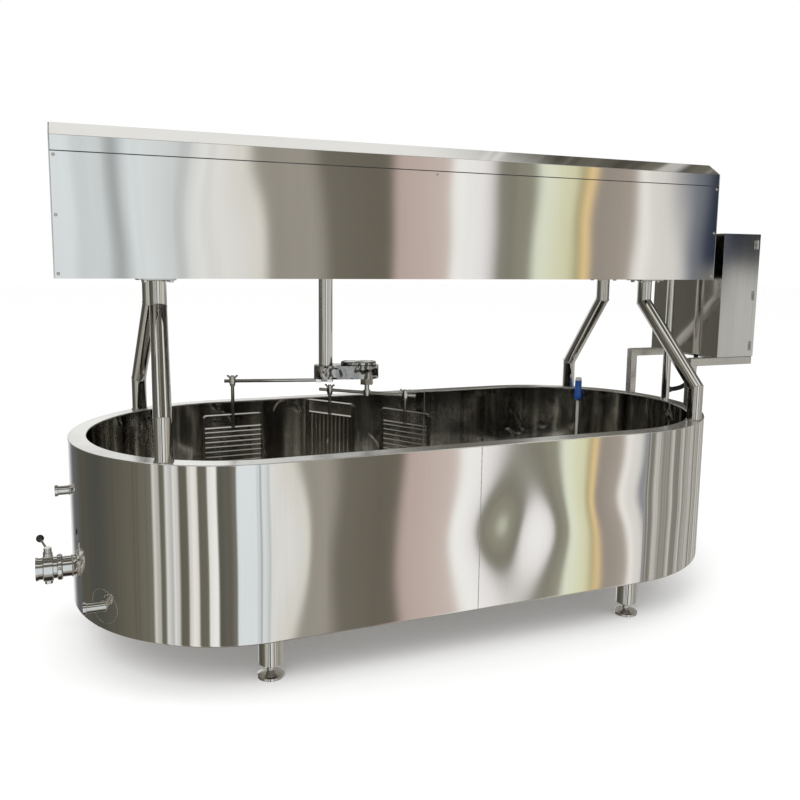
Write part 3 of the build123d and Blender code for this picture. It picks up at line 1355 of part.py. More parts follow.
# Quarter-turn lock, with its cam turned down and clear of the return
CAM_X = DOOR_X - DOOR_GAP - CABINET_WALL - CAM_THICK - DOOR_GAP
with BuildPart() as door_latch:
    bars_out([(LOCK_Y, DOOR_MID_Z)], CAM_X, LOCK_OD / 2, DOOR_FACE + LOCK_HEAD - CAM_X)
    bars_out([(LOCK_Y, DOOR_MID_Z)], DOOR_FACE + BUTT, LOCK_HEAD_OD / 2, LOCK_HEAD)
    with BuildSketch(Plane.YZ.offset(DOOR_FACE + BUTT + LOCK_HEAD)):
        with Locations((LOCK_Y, DOOR_MID_Z)):
            SlotOverall(LOCK_HEAD_OD - LOCK_HEAD, LOCK_HEAD, rotation=90)
    extrude(amount=LOCK_HEAD)
    with BuildSketch(Plane.YZ.offset(CAM_X)):
        with Locations((LOCK_Y, DOOR_MID_Z - CAM_LENGTH / 2)):
            Rectangle(CAM_WIDTH, CAM_LENGTH)
    extrude(amount=CAM_THICK)
save(door_latch.part, "door_latch")


def push_button(point, head_radius, head_start, head_end):
    """Button along X through the door, with a head between two distances from its face."""
    with BuildPart() as button:
        bars_out([point], DOOR_FACE - BUTTON_INSIDE, BUTTON_OD / 2, BUTTON_INSIDE + head_end)
        if head_radius > BUTTON_OD / 2:
            bars_out([point], DOOR_FACE + head_start, head_radius, head_end - head_start)
        crown = button.faces().filter_by(Plane.YZ).sort_by(Axis.X)[-1]
        fillet(crown.edges(), (head_end - head_start) / 3)
    return button.part


save(push_button(BUTTON_POINTS[0], BUTTON_OD / 2, BUTTON_BEZEL, BUTTON_RISE), "start_button")
save(push_button(BUTTON_POINTS[1], BUTTON_OD / 2, BUTTON_BEZEL, BUTTON_RISE), "stop_button")
save(push_button(ESTOP_POINT, ESTOP_OD / 2, ESTOP_RISE / 2, ESTOP_RISE), "emergency_stop")

# Conduit from the wiring post up into the cabinet
CONDUIT_RADIUS = CONDUIT_BEND / tan(radians(CONDUIT_TURN / 2))
START = Vector(WIRING_X + WIRING_INNER, 0, CONDUIT_Z)
ROUTE = [START]
for turn in range(3):
    lean = radians(turn * CONDUIT_TURN)
    ROUTE.append(ROUTE[-1] + Vector(CONDUIT_RUN * cos(lean), 0, CONDUIT_RUN * sin(lean)))
CONDUIT_TOP = CABINET_BOTTOM + CABINET_WALL + GLAND_LENGTH
ROUTE.append(Vector(ROUTE[-1].X, 0, CONDUIT_TOP))
print("conduit bend radius", round(CONDUIT_RADIUS, 2))
with BuildPart() as conduit:
    with BuildLine() as conduit_route:
        FilletPolyline(*ROUTE, radius=CONDUIT_RADIUS)
    with BuildSketch(Plane(origin=START, x_dir=(0, 1, 0), z_dir=(1, 0, 0))):
        Circle(CONDUIT_OD / 2)
    sweep(path=conduit_route.wires()[0])
save(conduit.part, "conduit")

# Glands around the conduit's two ends
with BuildPart() as conduit_glands:
    bars_out([(0, CONDUIT_Z)], WIRING_X + WIRING_INNER, GLAND_OD / 2, GLAND_LENGTH + WIRING_POST_WALL)
    with Locations((WIRING_X, 0, CONDUIT_Z)):
        Cylinder(WIRING_POST_OD / 2 + BUTT / 2, 2 * GLAND_OD, mode=Mode.SUBTRACT)
    bars_up([(GLAND_X, 0)], CABINET_BOTTOM - GLAND_LENGTH, GLAND_OD / 2, GLAND_LENGTH)
    bars_out([(0, CONDUIT_Z)], WIRING_X, CONDUIT_OD / 2 + BUTT / 2, GLAND_OD, mode=Mode.SUBTRACT)
    with Locations((GLAND_X, 0, CABINET_BOTTOM)):
        Cylinder(CONDUIT_OD / 2 + BUTT / 2, 2 * GLAND_OD, mode=Mode.SUBTRACT)
save(conduit_glands.part, "conduit_glands")

# Holder ring for the probe, welded to the inner wall
RADIAL = Plane(
    origin=(TX + END_X, 0, GRIP_Z - HOLDER_THICK),
    x_dir=(cos(radians(PROBE_ANGLE)), sin(radians(PROBE_ANGLE)), 0),
    z_dir=(0, 0, 1),
)
with BuildPart() as probe_holder:
    with BuildSketch(RADIAL):
        with Locations((PROBE_R + (PROBE_WALL_GAP - BUTT) / 2, 0)):
            Rectangle(PROBE_WALL_GAP - BUTT, HOLDER_WIDTH)
        with Locations((PROBE_R, 0)):
            Circle(HOLDER_RING_OD / 2)
            Circle(PROBE_ROD_OD / 2 + HOLDER_FIT, mode=Mode.SUBTRACT)
    extrude(amount=HOLDER_THICK)
save(probe_holder.part, "probe_holder")

# Probe: tapering rod below, grip with a bulged collar above
ROD_BOTTOM = GRIP_Z - PROBE_ROD_LENGTH
PROBE_PLANE = Plane(origin=(PROBE_X, PROBE_Y, 0), x_dir=(1, 0, 0), z_dir=(0, -1, 0))
PROBE_AXIS = Axis((PROBE_X, PROBE_Y, 0), (0, 0, 1))
with BuildPart() as probe_rod:
    with BuildSketch(PROBE_PLANE):
        Polygon(
            (0, ROD_BOTTOM),
            (PROBE_TIP_OD / 2, ROD_BOTTOM),
            (PROBE_ROD_OD / 2, GRIP_Z - PROBE_ROD_LENGTH / 3),
            (PROBE_ROD_OD / 2, GRIP_Z),
            (0, GRIP_Z),
            align=None,
        )
    revolve(axis=PROBE_AXIS)
save(probe_rod.part, "probe_rod")
with BuildPart() as probe_grip:
    with BuildSketch(PROBE_PLANE):
        Polygon(
            (0, GRIP_Z),
            (GRIP_OD / 2, GRIP_Z),
            (GRIP_COLLAR_OD / 2, GRIP_Z + GRIP_COLLAR_OD / 4),
            (GRIP_COLLAR_OD / 2, GRIP_Z + GRIP_COLLAR_OD / 2),
            (GRIP_OD / 2, GRIP_Z + GRIP_COLLAR),
            (GRIP_OD / 2, GRIP_Z + GRIP_LENGTH - GRIP_OD / 4),
            (GRIP_OD / 3, GRIP_Z + GRIP_LENGTH),
            (0, GRIP_Z + GRIP_LENGTH),
            align=None,
        )
    revolve(axis=PROBE_AXIS)
save(probe_grip.part, "probe_grip")
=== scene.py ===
"""Looks of the cheese making vat: polished steel, harps, fittings, floor, lights and camera."""

import json
import math
import random

import bmesh
import bpy
from mathutils import Matrix, Vector


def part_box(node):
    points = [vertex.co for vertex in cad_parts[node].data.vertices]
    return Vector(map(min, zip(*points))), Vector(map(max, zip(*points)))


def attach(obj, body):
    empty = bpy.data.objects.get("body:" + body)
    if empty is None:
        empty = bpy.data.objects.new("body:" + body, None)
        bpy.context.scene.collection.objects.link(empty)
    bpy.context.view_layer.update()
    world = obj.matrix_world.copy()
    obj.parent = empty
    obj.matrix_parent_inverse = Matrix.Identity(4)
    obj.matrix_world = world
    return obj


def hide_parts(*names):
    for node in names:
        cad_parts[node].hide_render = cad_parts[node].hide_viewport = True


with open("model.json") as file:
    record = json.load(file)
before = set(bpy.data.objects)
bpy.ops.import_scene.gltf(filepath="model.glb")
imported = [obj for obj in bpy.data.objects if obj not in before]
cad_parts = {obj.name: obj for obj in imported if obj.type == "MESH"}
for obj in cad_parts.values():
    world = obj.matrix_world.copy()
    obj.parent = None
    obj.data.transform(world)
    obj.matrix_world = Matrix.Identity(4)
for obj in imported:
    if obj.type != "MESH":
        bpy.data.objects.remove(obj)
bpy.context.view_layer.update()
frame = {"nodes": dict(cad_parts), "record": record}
random.seed(7)
MM = 0.001
UP = Vector((0, 0, 1))
ALONG = Vector((1, 0, 0))
FINE_SIDES = 96
TURNED_SIDES = 48

# Places read from the frame
SHELL_LOW, SHELL_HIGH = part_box("outer_shell")
LINER_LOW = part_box("inner_liner")[0]
RIM_LOW, RIM_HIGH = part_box("rim_flange")
BEAM_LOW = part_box("beam_front_panel")[0]
ROOF_LOW, ROOF_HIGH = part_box("beam_roof_cap")
END_LOW, END_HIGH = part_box("beam_end_plates")
CABINET_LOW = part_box("control_box")[0]
MID_X = (SHELL_LOW.x + SHELL_HIGH.x) / 2
VAT_R = (SHELL_HIGH.y - SHELL_LOW.y) / 2
END_X = (SHELL_HIGH.x - SHELL_LOW.x) / 2 - VAT_R
RIM_TOP = RIM_HIGH.z


# Materials

class Sock:
    """A shader socket that can stand in a Python expression."""

    def __init__(self, shade, socket):
        self.shade = shade
        self.socket = socket

    def _math(self, operation, *others, swap=False):
        values = [self, *others]
        if swap:
            values.reverse()
        return self.shade.node("ShaderNodeMath", *values, operation=operation)

    def __add__(self, other):
        return self._math("ADD", other)

    def __radd__(self, other):
        return self._math("ADD", other)

    def __sub__(self, other):
        return self._math("SUBTRACT", other)

    def __rsub__(self, other):
        return self._math("SUBTRACT", other, swap=True)

    def __mul__(self, other):
        return self._math("MULTIPLY", other)

    def __truediv__(self, other):
        return self._math("DIVIDE", other)

    def __pow__(self, other):
        return self._math("POWER", other)

    def above(self, edge, soft):
        """0 below an edge and 1 above it, with a soft step."""
        return self.shade.node(
            "ShaderNodeMapRange", self, edge - soft, edge + soft, 0.0, 1.0,
            interpolation_type="SMOOTHSTEP",
        )


class Shade:
    """One node tree, built by calls that return sockets."""

    def __init__(self, tree):
        self.tree = tree

    def node(self, kind, *inputs, out=0, **settings):
        """Any node: inputs by order, keyword inputs by socket name, other keywords as settings."""
        made = self.tree.nodes.new(kind)
        for name, value in settings.items():
            if name[0].isupper():
                self.feed(made.inputs[name.replace("_", " ")], value)
            else:
                setattr(made, name, value)
        for socket, value in zip([s for s in made.inputs if s.enabled], inputs):
            if value is not None:
                self.feed(socket, value)
        usable = [s for s in made.outputs if s.enabled]
        return Sock(self, made.outputs[out] if isinstance(out, str) else usable[out])

    def feed(self, socket, value):
        """Links a socket, or sets its value."""
        if isinstance(value, Sock):
            self.tree.links.new(value.socket, socket)
        elif isinstance(value, tuple) and len(value) == 3 and socket.type == "RGBA":
            socket.default_value = (*value, 1.0)
        else:
            socket.default_value = value

    def place(self, scale=(1.0, 1.0, 1.0)):
        """Object coordinates, stretched."""
        coords = self.node("ShaderNodeTexCoord", out="Object")
        return self.node("ShaderNodeMapping", coords, Scale=scale)

    def axes(self, vector):
        """X, Y and Z of a vector."""
        split = self.tree.nodes.new("ShaderNodeSeparateXYZ")
        self.feed(split.inputs[0], vector)
        return [Sock(self, s) for s in split.outputs]

    def noise(self, scale, stretch=(1.0, 1.0, 1.0), detail=2.0, rough=0.5, distort=0.0):
        """Noise in object coordinates; scale is per metre."""
        return self.node(
            "ShaderNodeTexNoise", Vector=self.place(stretch), Scale=scale, Detail=detail,
            Roughness=rough, Distortion=distort, out="Fac",
        )

    def blend(self, share, first, second):
        """Colour mix by a share."""
        mixed = self.tree.nodes.new("ShaderNodeMix")
        mixed.data_type = "RGBA"
        for name, value in (("Factor_Float", share), ("A_Color", first), ("B_Color", second)):
            socket = next(s for s in mixed.inputs if s.identifier == name)
            self.feed(socket, value)
        return Sock(self, next(s for s in mixed.outputs if s.identifier == "Result_Color"))

    def ramp(self, value, stops):
        """Colours by a value, eased between the stops."""
        made = self.tree.nodes.new("ShaderNodeValToRGB")
        self.feed(made.inputs[0], value)
        made.color_ramp.interpolation = "EASE"
        elements = made.color_ramp.elements
        while len(elements) < len(stops):
            elements.new(0.5)
        for element, (position, colour) in zip(elements, stops):
            element.position = position
            element.color = (*colour, 1.0)
        return Sock(self, made.outputs[0])

    def bump(self, height, distance, strength=1.0, normal=None):
        """A normal bent by a height; distance is in metres."""
        made = self.node(
            "ShaderNodeBump", Strength=strength, Distance=distance, Height=height, out="Normal"
        )
        if normal is not None:
            self.feed(made.socket.node.inputs["Normal"], normal)
        return made


def material(name, colour, metallic, rough, **constants):
    """A Principled material, returned with its shade and its surface node."""
    made = bpy.data.materials.new(name)
    made.use_nodes = True
    surface = made.node_tree.nodes["Principled BSDF"]
    surface.inputs["Base Color"].default_value = (*colour, 1.0)
    surface.inputs["Metallic"].default_value = metallic
    surface.inputs["Roughness"].default_value = rough
    for key, value in constants.items():
        surface.inputs[key.replace("_", " ")].default_value = value
    return made, Shade(made.node_tree), surface


# Directions in which a noise is stretched
EVEN = (1.0, 1.0, 1.0)
VERTICAL = (1.0, 1.0, 0.02)
LENGTHWISE = (0.02, 1.0, 1.0)

# Noises of the steel: scales per metre, and how much they count
CLOUD_SCALE = 2.3
TONE_SCALE = 3.1
TONE_MIDDLE = 0.35
TONE_GAIN = 3.3
GRAIN_SCALE = 160.0
GRAIN_SHARE = 0.25
STREAK_SCALE = 26.0
DENT_SCALE = 9.0
DENT_FROM = 0.66
LEVEL_FROM = 0.6
LEVEL_TONE = 0.45


def steel(name, light, shade_colour, rough, wave=0.0, wave_scale=2.0, wave_stretch=(1, 1, 0.35),
          grain=EVEN, grain_depth=0.004, smudge=0.05, bands=0.5, dents=0.0, streaks=0.0,
          form=None):
    """Stainless steel between two tones: cloudy polish, fine grain, slow waves and small dents.

    wave and dents are heights in metres, grain_depth is in millimetres. Upright streaks and
    dents stay off the level faces. form adds a height of its own.
    """
    made, s, surface = material(name, light, 1.0, rough)
    cloud = s.noise(CLOUD_SCALE, wave_stretch, detail=4.0, rough=0.55)
    tone = s.noise(TONE_SCALE, (1.0, 1.0, 0.12), detail=3.0, rough=0.6, distort=0.4)
    fine = s.noise(GRAIN_SCALE, grain, detail=3.0, rough=0.6)
    share = (tone - TONE_MIDDLE) * (TONE_GAIN * bands) + (fine - 0.5) * GRAIN_SHARE
    facing = s.axes(s.node("ShaderNodeTexCoord", out="Normal"))[2]
    level = facing._math("ABSOLUTE").above(LEVEL_FROM, 0.25)
    if streaks:
        streak = s.noise(STREAK_SCALE, (1.0, 1.0, 0.05), detail=3.0, rough=0.65)
        share = share - (streak - 0.5) * streaks
        share = share * (1.0 - level) + level * LEVEL_TONE
    s.feed(surface.inputs["Base Color"], s.blend(share.above(0.5, 0.5), light, shade_colour))
    wear = (cloud - 0.5) * smudge + (fine - 0.5) * (0.5 * smudge)
    s.feed(surface.inputs["Roughness"], rough + wear)
    normal = s.bump(fine, grain_depth * MM, 0.5)
    if wave:
        slow = s.noise(wave_scale, wave_stretch, detail=0.0, rough=0.4, distort=0.3)
        normal = s.bump(slow, wave, normal=normal)
    if form:
        normal = s.bump(form(s), 1.0, normal=normal)
    if dents:
        spots = s.noise(DENT_SCALE, (1.0, 1.0, 0.8), detail=1.0, rough=0.5, distort=0.6)
        spots = spots.above(DENT_FROM, 0.07) * (1.0 - level)
        normal = s.bump(spots, dents, normal=normal)
    s.feed(surface.inputs["Normal"], normal)
    return made


def bell(value, centre, width):
    """Smooth rise and fall, 1 at the centre."""
    across = (value - centre) / width
    return (across * across * 1.4 + 1.0) ** -2.0


# Long dents of the vat's side sheets: places, widths and depths in metres
SWELL_X, SWELL_DEPTH = -0.64, 0.0048
SWELL_WIDTH_LEFT, SWELL_WIDTH_RIGHT = 0.26, 1.0
VALLEY_X, VALLEY_Z, VALLEY_DEPTH = 0.09, 0.47, 0.0059
RISE_X, RISE_WIDTH, RISE_DEPTH = 0.45, 0.75, 0.0135
RIGHT_X, RIGHT_Z, RIGHT_DEPTH = 0.72, 0.52, 0.0072
SHEET_MIDDLE = 0.50


def shell_form(s):
    """Height of the side sheets in metres, whose slopes bend the bands of the hall."""
    x, y, z = s.axes(s.place())
    past = x.above(SWELL_X, 0.001)
    swell = bell(x, SWELL_X, SWELL_WIDTH_LEFT) * (1.0 - past)
    swell = swell + bell(x, SWELL_X, SWELL_WIDTH_RIGHT) * past
    swell = swell * bell(z, SHEET_MIDDLE, 0.50)
    valley = bell(x, VALLEY_X, 0.25) * bell(z, VALLEY_Z, 0.26)
    rise = bell(x, RISE_X, RISE_WIDTH)
    lean = 1.1 - bell(z, RIGHT_Z, 0.20) * 0.45 + (SHEET_MIDDLE - z) * 0.4
    right = bell(x, RIGHT_X, 0.42) * lean
    return (
        swell * SWELL_DEPTH - valley * VALLEY_DEPTH + rise * RISE_DEPTH + right * RIGHT_DEPTH
    )


SHELL_STEEL = steel(
    "shell_steel", (0.86, 0.85, 0.83), (0.74, 0.725, 0.70), 0.05, wave=0.0025, wave_scale=1.6,
    wave_stretch=(1.0, 1.0, 1.3), grain=VERTICAL, grain_depth=0.0012, smudge=0.03,
    form=shell_form,
)
BEAM_STEEL = steel(
    "beam_steel", (0.86, 0.85, 0.83), (0.76, 0.75, 0.73), 0.045, wave=0.005, wave_scale=1.5,
    wave_stretch=EVEN, grain=VERTICAL, grain_depth=0.0012, smudge=0.03,
)
LINER_STEEL = steel(
    "liner_steel", (0.86, 0.845, 0.81), (0.42, 0.41, 0.385), 0.09, wave=0.003, wave_scale=2.2,
    wave_stretch=(1.0, 1.0, 0.6), grain=VERTICAL, smudge=0.10, bands=1.2, dents=0.0009,
    streaks=2.6,
)
RIM_STEEL = steel(
    "rim_steel", (0.90, 0.895, 0.88), (0.72, 0.71, 0.69), 0.24, wave=0.004, wave_scale=6.0,
    wave_stretch=EVEN, grain_depth=0.012, smudge=0.14,
)
TUBE_STEEL = steel(
    "tube_steel", (0.80, 0.785, 0.76), (0.60, 0.585, 0.56), 0.05, wave=0.002, wave_scale=5.0,
    wave_stretch=(1.0, 1.0, 0.2), grain=VERTICAL, grain_depth=0.001, smudge=0.03,
)
PART_STEEL = steel("part_steel", (0.80, 0.79, 0.77), (0.52, 0.51, 0.49), 0.13)
SATIN_STEEL = steel(
    "satin_steel", (0.76, 0.755, 0.74), (0.58, 0.57, 0.55), 0.27, grain=LENGTHWISE,
    grain_depth=0.008, smudge=0.1,
)
BOX_STEEL = steel(
    "box_steel", (0.80, 0.79, 0.77), (0.52, 0.51, 0.50), 0.10, wave=0.006, wave_scale=2.5,
    wave_stretch=(1.0, 1.0, 0.4), grain=VERTICAL, grain_depth=0.002,
)
CASING_STEEL = steel(
    "casing_steel", (0.50, 0.49, 0.47), (0.15, 0.145, 0.135), 0.08, wave=0.010, wave_scale=24.0,
    wave_stretch=EVEN, grain_depth=0.003, smudge=0.08, bands=1.1, streaks=1.2,
)
# Harp blades: steel darkened far below the other steels, as painted shade for the blades in the
# vat
SHADED_BLADE_STEEL = steel(
    "blade_steel", (0.42, 0.39, 0.35), (0.22, 0.20, 0.175), 0.20, grain=LENGTHWISE,
)
WELD_STEEL = steel(
    "weld_steel", (0.66, 0.64, 0.60), (0.30, 0.28, 0.26), 0.30, grain_depth=0.05, smudge=0.2,
)


def plastic(name, colour, worn, rough, depth=0.01, scale=420.0, **constants):
    """Moulded plastic or rubber with pits of a depth in millimetres, a little paler in places."""
    made, s, surface = material(name, colour, 0.0, rough, **constants)
    pits = s.noise(scale, detail=4.0, rough=0.7)
    cloud = s.noise(14.0, detail=3.0)
    s.feed(surface.inputs["Base Color"], s.blend(cloud.above(0.58, 0.14), colour, worn))
    s.feed(surface.inputs["Roughness"], rough + (cloud - 0.5) * 0.18 + (pits - 0.5) * 0.1)
    s.feed(surface.inputs["Normal"], s.bump(pits, depth * MM, 0.6))
    return made


BLACK_GLOSS = plastic("black_gloss", (0.012, 0.012, 0.013), (0.03, 0.03, 0.03), 0.18)
BLACK_RUBBER = plastic("black_rubber", (0.02, 0.02, 0.021), (0.05, 0.05, 0.05), 0.62, depth=0.05)
CONDUIT_BLACK = plastic(
    "conduit_black", (0.010, 0.010, 0.011), (0.02, 0.02, 0.022), 0.55, depth=0.02,
    Specular_IOR_Level=0.2,
)
GRIP_BLUE = plastic("grip_blue", (0.012, 0.085, 0.36), (0.03, 0.14, 0.45), 0.32)
ROD_PALE = plastic("rod_pale", (0.62, 0.60, 0.55), (0.48, 0.46, 0.42), 0.45)
LAMP_WHITE = plastic(
    "lamp_white", (0.78, 0.78, 0.74), (0.70, 0.70, 0.66), 0.15, Coat_Weight=0.5,
)
BUTTON_GREEN = plastic("button_green", (0.01, 0.26, 0.07), (0.03, 0.33, 0.12), 0.25)
BUTTON_RED = plastic("button_red", (0.48, 0.012, 0.01), (0.58, 0.04, 0.03), 0.25)
MOTOR_PAINT = plastic(
    "motor_paint", (0.11, 0.16, 0.23), (0.16, 0.21, 0.28), 0.42, depth=0.05, scale=240.0,
)


# Mesh helpers

def finished(mesh_data, name, body, surface, replaced=(), smooth=35.0):
    """An object from a bmesh, with a material, on a body, in place of CAD nodes."""
    mesh = bpy.data.meshes.new(name)
    bmesh.ops.recalc_face_normals(mesh_data, faces=mesh_data.faces)
    mesh_data.to_mesh(mesh)
    mesh_data.free()
    mesh.shade_smooth()
    mesh.set_sharp_from_angle(angle=math.radians(smooth))
    made = bpy.data.objects.new(name, mesh)
    bpy.context.scene.collection.objects.link(made)
    mesh.materials.append(surface)
    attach(made, body)
    if replaced:
        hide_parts(*replaced)
    return made


def rounded(made, width):
    """Bevelled edges with smooth corners."""
    bevel = made.modifiers.new("bevel", "BEVEL")
    bevel.width = width
    bevel.segments = 2
    bevel.limit_method = "ANGLE"
    bevel.angle_limit = math.radians(30.0)
    flat = made.modifiers.new("flat", "WEIGHTED_NORMAL")
    flat.keep_sharp = True


BODIES = frame["record"]["behaviour"]["bodies"]
BODY_OF = {node: body for body, nodes in BODIES.items() for node in nodes}


def refined(node, surface, bevel):
    """A CAD node with its flat faces joined, its curves smooth and a bevel in millimetres."""
    work = bmesh.new()
    work.from_mesh(frame["nodes"][node].data)
    bmesh.ops.remove_doubles(work, verts=work.verts, dist=1e-6)
    bmesh.ops.dissolve_limit(
        work, angle_limit=math.radians(0.6), verts=work.verts, edges=work.edges
    )
    made = finished(work, "fine_" + node, BODY_OF[node], surface, (node,))
    if bevel:
        rounded(made, bevel * MM)


def stadium(inset):
    """Points around the vat in plan, drawn in by an inset, counter-clockwise."""
    radius = VAT_R - inset
    points = []
    for side in (1, -1):
        for i in range(FINE_SIDES + 1):
            angle = -math.pi / 2 + math.pi * i / FINE_SIDES + (0 if side > 0 else math.pi)
            x = MID_X + side * END_X + radius * math.cos(angle)
            points.append((x, radius * math.sin(angle)))
    return points


def around(profile, name, body, surface, replaced=(), closed=True, height=None):
    """A section of inset and height carried around the vat; height(x, z) may tilt it."""
    work = bmesh.new()
    level = height or (lambda x, z: z)
    loops = []
    for inset, z in profile:
        loops.append([work.verts.new((x, y, level(x, z))) for x, y in stadium(inset)])
    pairs = list(zip(loops, loops[1:]))
    if closed:
        pairs.append((loops[-1], loops[0]))
    for low, high in pairs:
        for i in range(len(low)):
            j = (i + 1) % len(low)
            work.faces.new((low[i], low[j], high[j], high[i]))
    if not closed:
        work.faces.new(loops[-1])
    return finished(work, name, body, surface, replaced)


def arc(centre, radius, start, end, count=5):
    """Points on an arc, in degrees, in the plane of a section."""
    return [
        (
            centre[0] + radius * math.cos(math.radians(start + (end - start) * i / count)),
            centre[1] + radius * math.sin(math.radians(start + (end - start) * i / count)),
        )
        for i in range(count + 1)
    ]


def rings(work, sections, cap=True):
    """Faces between rings of equal count, with caps on the two ends."""
    made = [[work.verts.new(p) for p in ring] for ring in sections]
    for low, high in zip(made, made[1:]):
        for i in range(len(low)):
            j = (i + 1) % len(low)
            work.faces.new((low[i], low[j], high[j], high[i]))
    if cap:
        work.faces.new(made[0])
        work.faces.new(made[-1])


def circle(centre, normal, radius, count=FINE_SIDES):
    """Ring of points around a centre."""
    normal = normal.normalized()
    side = normal.orthogonal().normalized()
    other = normal.cross(side)
    return [
        centre + (side * math.cos(angle) * radius + other * math.sin(angle) * radius)
        for angle in (2 * math.pi * i / count for i in range(count))
    ]


def turned(profile, centre, name, body, surface, replaced=()):
    """An upright solid of revolution from radius and height pairs."""
    work = bmesh.new()
    rings(work, [
        circle(centre + UP * z, UP, max(radius, 1e-5), TURNED_SIDES) for radius, z in profile
    ])
    finished(work, name, body, surface, replaced)


BEAD_RIPPLE = 0.18
BEAD_SIDES = 8


def bead(loop, axis, thick, name):
    """Weld bead of the vat along a closed loop of points, with small ripples."""
    axis = Vector(axis).normalized()
    middle = sum(loop, Vector()) / len(loop)
    work = bmesh.new()
    sections = []
    for i, point in enumerate(loop):
        out = (point - middle).normalized()
        ripple = BEAD_RIPPLE * math.sin(i * math.pi / 2)
        size = thick * (1 + ripple + random.uniform(-0.08, 0.08))
        sections.append([
            point + out * (size * math.cos(t)) + axis * (size * math.sin(t))
            for t in (2 * math.pi * k / BEAD_SIDES for k in range(BEAD_SIDES))
        ])
    sections.append(sections[0])
    rings(work, sections, cap=False)
    bmesh.ops.remove_doubles(work, verts=work.verts, dist=1e-7)
    finished(work, name, "vat", WELD_STEEL)


def pierced(made, holes):
    """Cuts round holes, each a point, an axis, a radius and a reach."""
    work = bmesh.new()
    for centre, axis, radius, reach in holes:
        rings(work, [circle(centre + axis * d, axis, radius) for d in (-reach, reach)])
    bmesh.ops.recalc_face_normals(work, faces=work.faces)
    mesh = bpy.data.meshes.new("cutter")
    work.to_mesh(mesh)
    work.free()
    cutter = bpy.data.objects.new("cutter", mesh)
    bpy.context.scene.collection.objects.link(cutter)
    cut = made.modifiers.new("cut", "BOOLEAN")
    cut.object = cutter
    cut.solver = "EXACT"
    bpy.context.view_layer.update()
    graph = bpy.context.evaluated_depsgraph_get()
    cut_mesh = bpy.data.meshes.new_from_object(made.evaluated_get(graph), depsgraph=graph)
    made.modifiers.clear()
    made.data = cut_mesh
    bpy.data.objects.remove(cutter)


# Places and bores of the pipes on the left end wall
OUTLET_LOW, OUTLET_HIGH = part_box("outlet_pipe")
OUTLET_Z = (OUTLET_LOW.z + OUTLET_HIGH.z) / 2
INLET_Z = 0.600
DRAIN_Y, DRAIN_Z = -0.330, 0.275
END_WALL = SHELL_LOW.x
OUTLET_AT = Vector((END_WALL, 0.0, OUTLET_Z))
INLET_AT = Vector((END_WALL, 0.0, INLET_Z))
DRAIN_AT = Vector((END_WALL + 0.09, DRAIN_Y, DRAIN_Z))
OUTLET_BORE_R = 0.0345
NOZZLE_BORE_R = 0.0145

# Vat shell, with a rolled lower edge
SHELL_BASE = SHELL_LOW.z
LIP_WALL = 0.003
LIP_REACH = 0.018
LIP_ROLL = 0.004
rolled = arc((0.0, SHELL_BASE + LIP_ROLL), LIP_ROLL, 0, -90)
shell_profile = [
    (0.0, SHELL_HIGH.z), (0.0, SHELL_BASE + 0.12), (0.0, SHELL_BASE + 0.006),
    *[(LIP_ROLL - x, z) for x, z in rolled],
    (LIP_REACH, SHELL_BASE), (LIP_REACH, SHELL_BASE + LIP_WALL),
    (LIP_WALL, SHELL_BASE + LIP_WALL), (LIP_WALL, SHELL_HIGH.z),
]
shell = around(shell_profile, "shell_skin", "vat", SHELL_STEEL, ("outer_shell",))
pierced(shell, [
    (OUTLET_AT, ALONG, OUTLET_BORE_R, 0.03),
    (INLET_AT, ALONG, NOZZLE_BORE_R, 0.03),
    (DRAIN_AT, ALONG, NOZZLE_BORE_R, 0.05),
])

# Rim with eased edges
EASE = 0.0012
RIM_WIDTH = 0.064
rim_profile = [
    (0.0, RIM_LOW.z), (0.0, RIM_TOP - EASE), (EASE, RIM_TOP),
    (RIM_WIDTH - EASE, RIM_TOP), (RIM_WIDTH, RIM_TOP - EASE), (RIM_WIDTH, RIM_LOW.z),
]
around(rim_profile, "rim_ring", "vat", RIM_STEEL, ("rim_flange",))

# Basin with a coved corner and a floor that falls to the outlet
SHEET = 0.003
FLOOR_LEFT = LINER_LOW.z + SHEET
FLOOR_FALL = 0.022 / 2.706
COVE = 0.030
BASIN_TOP = 2.0


def basin_height(x, z):
    """Heights above the sloping floor, and near BASIN_TOP heights from the level top edge."""
    floor = FLOOR_LEFT + (x - SHELL_LOW.x) * FLOOR_FALL
    return RIM_LOW.z + z - BASIN_TOP if z > 1.0 else floor + z


basin_profile = [
    (RIM_WIDTH, BASIN_TOP), (RIM_WIDTH, BASIN_TOP - 0.002), (RIM_WIDTH, 0.25), (RIM_WIDTH, COVE),
    *[(RIM_WIDTH + COVE - x, z) for x, z in arc((0.0, COVE), COVE, 0, -90, 8)][1:],
    (RIM_WIDTH + 0.2, 0.0),
]
liner = around(
    basin_profile, "basin_skin", "vat", LINER_STEEL, ("inner_liner",), False, basin_height,
)
thick = liner.modifiers.new("sheet", "SOLIDIFY")
thick.thickness = SHEET
thick.offset = 1.0
pierced(liner, [(OUTLET_AT + ALONG * RIM_WIDTH, ALONG, OUTLET_BORE_R, 0.03)])

# Seams in the shell and in the rear inner wall
SEAM_X = MID_X + 0.015
SEAM_STEPS = 60
BASIN_SEAMS = (-0.766, 0.309)


def seam(x, y, low, high, name, width=0.0016):
    """Thin upright weld line of the vat on a wall."""
    work = bmesh.new()
    face = 1 if y > 0 else -1
    sections = []
    for i in range(SEAM_STEPS + 1):
        z = low + (high - low) * i / SEAM_STEPS
        half = width * (1 + random.uniform(-0.25, 0.25))
        sections.append([
            Vector((x - half, y, z)), Vector((x, y + face * width * 0.35, z)),
            Vector((x + half, y, z)), Vector((x, y - face * width * 0.2, z)),
        ])
    rings(work, sections)
    finished(work, name, "vat", WELD_STEEL)


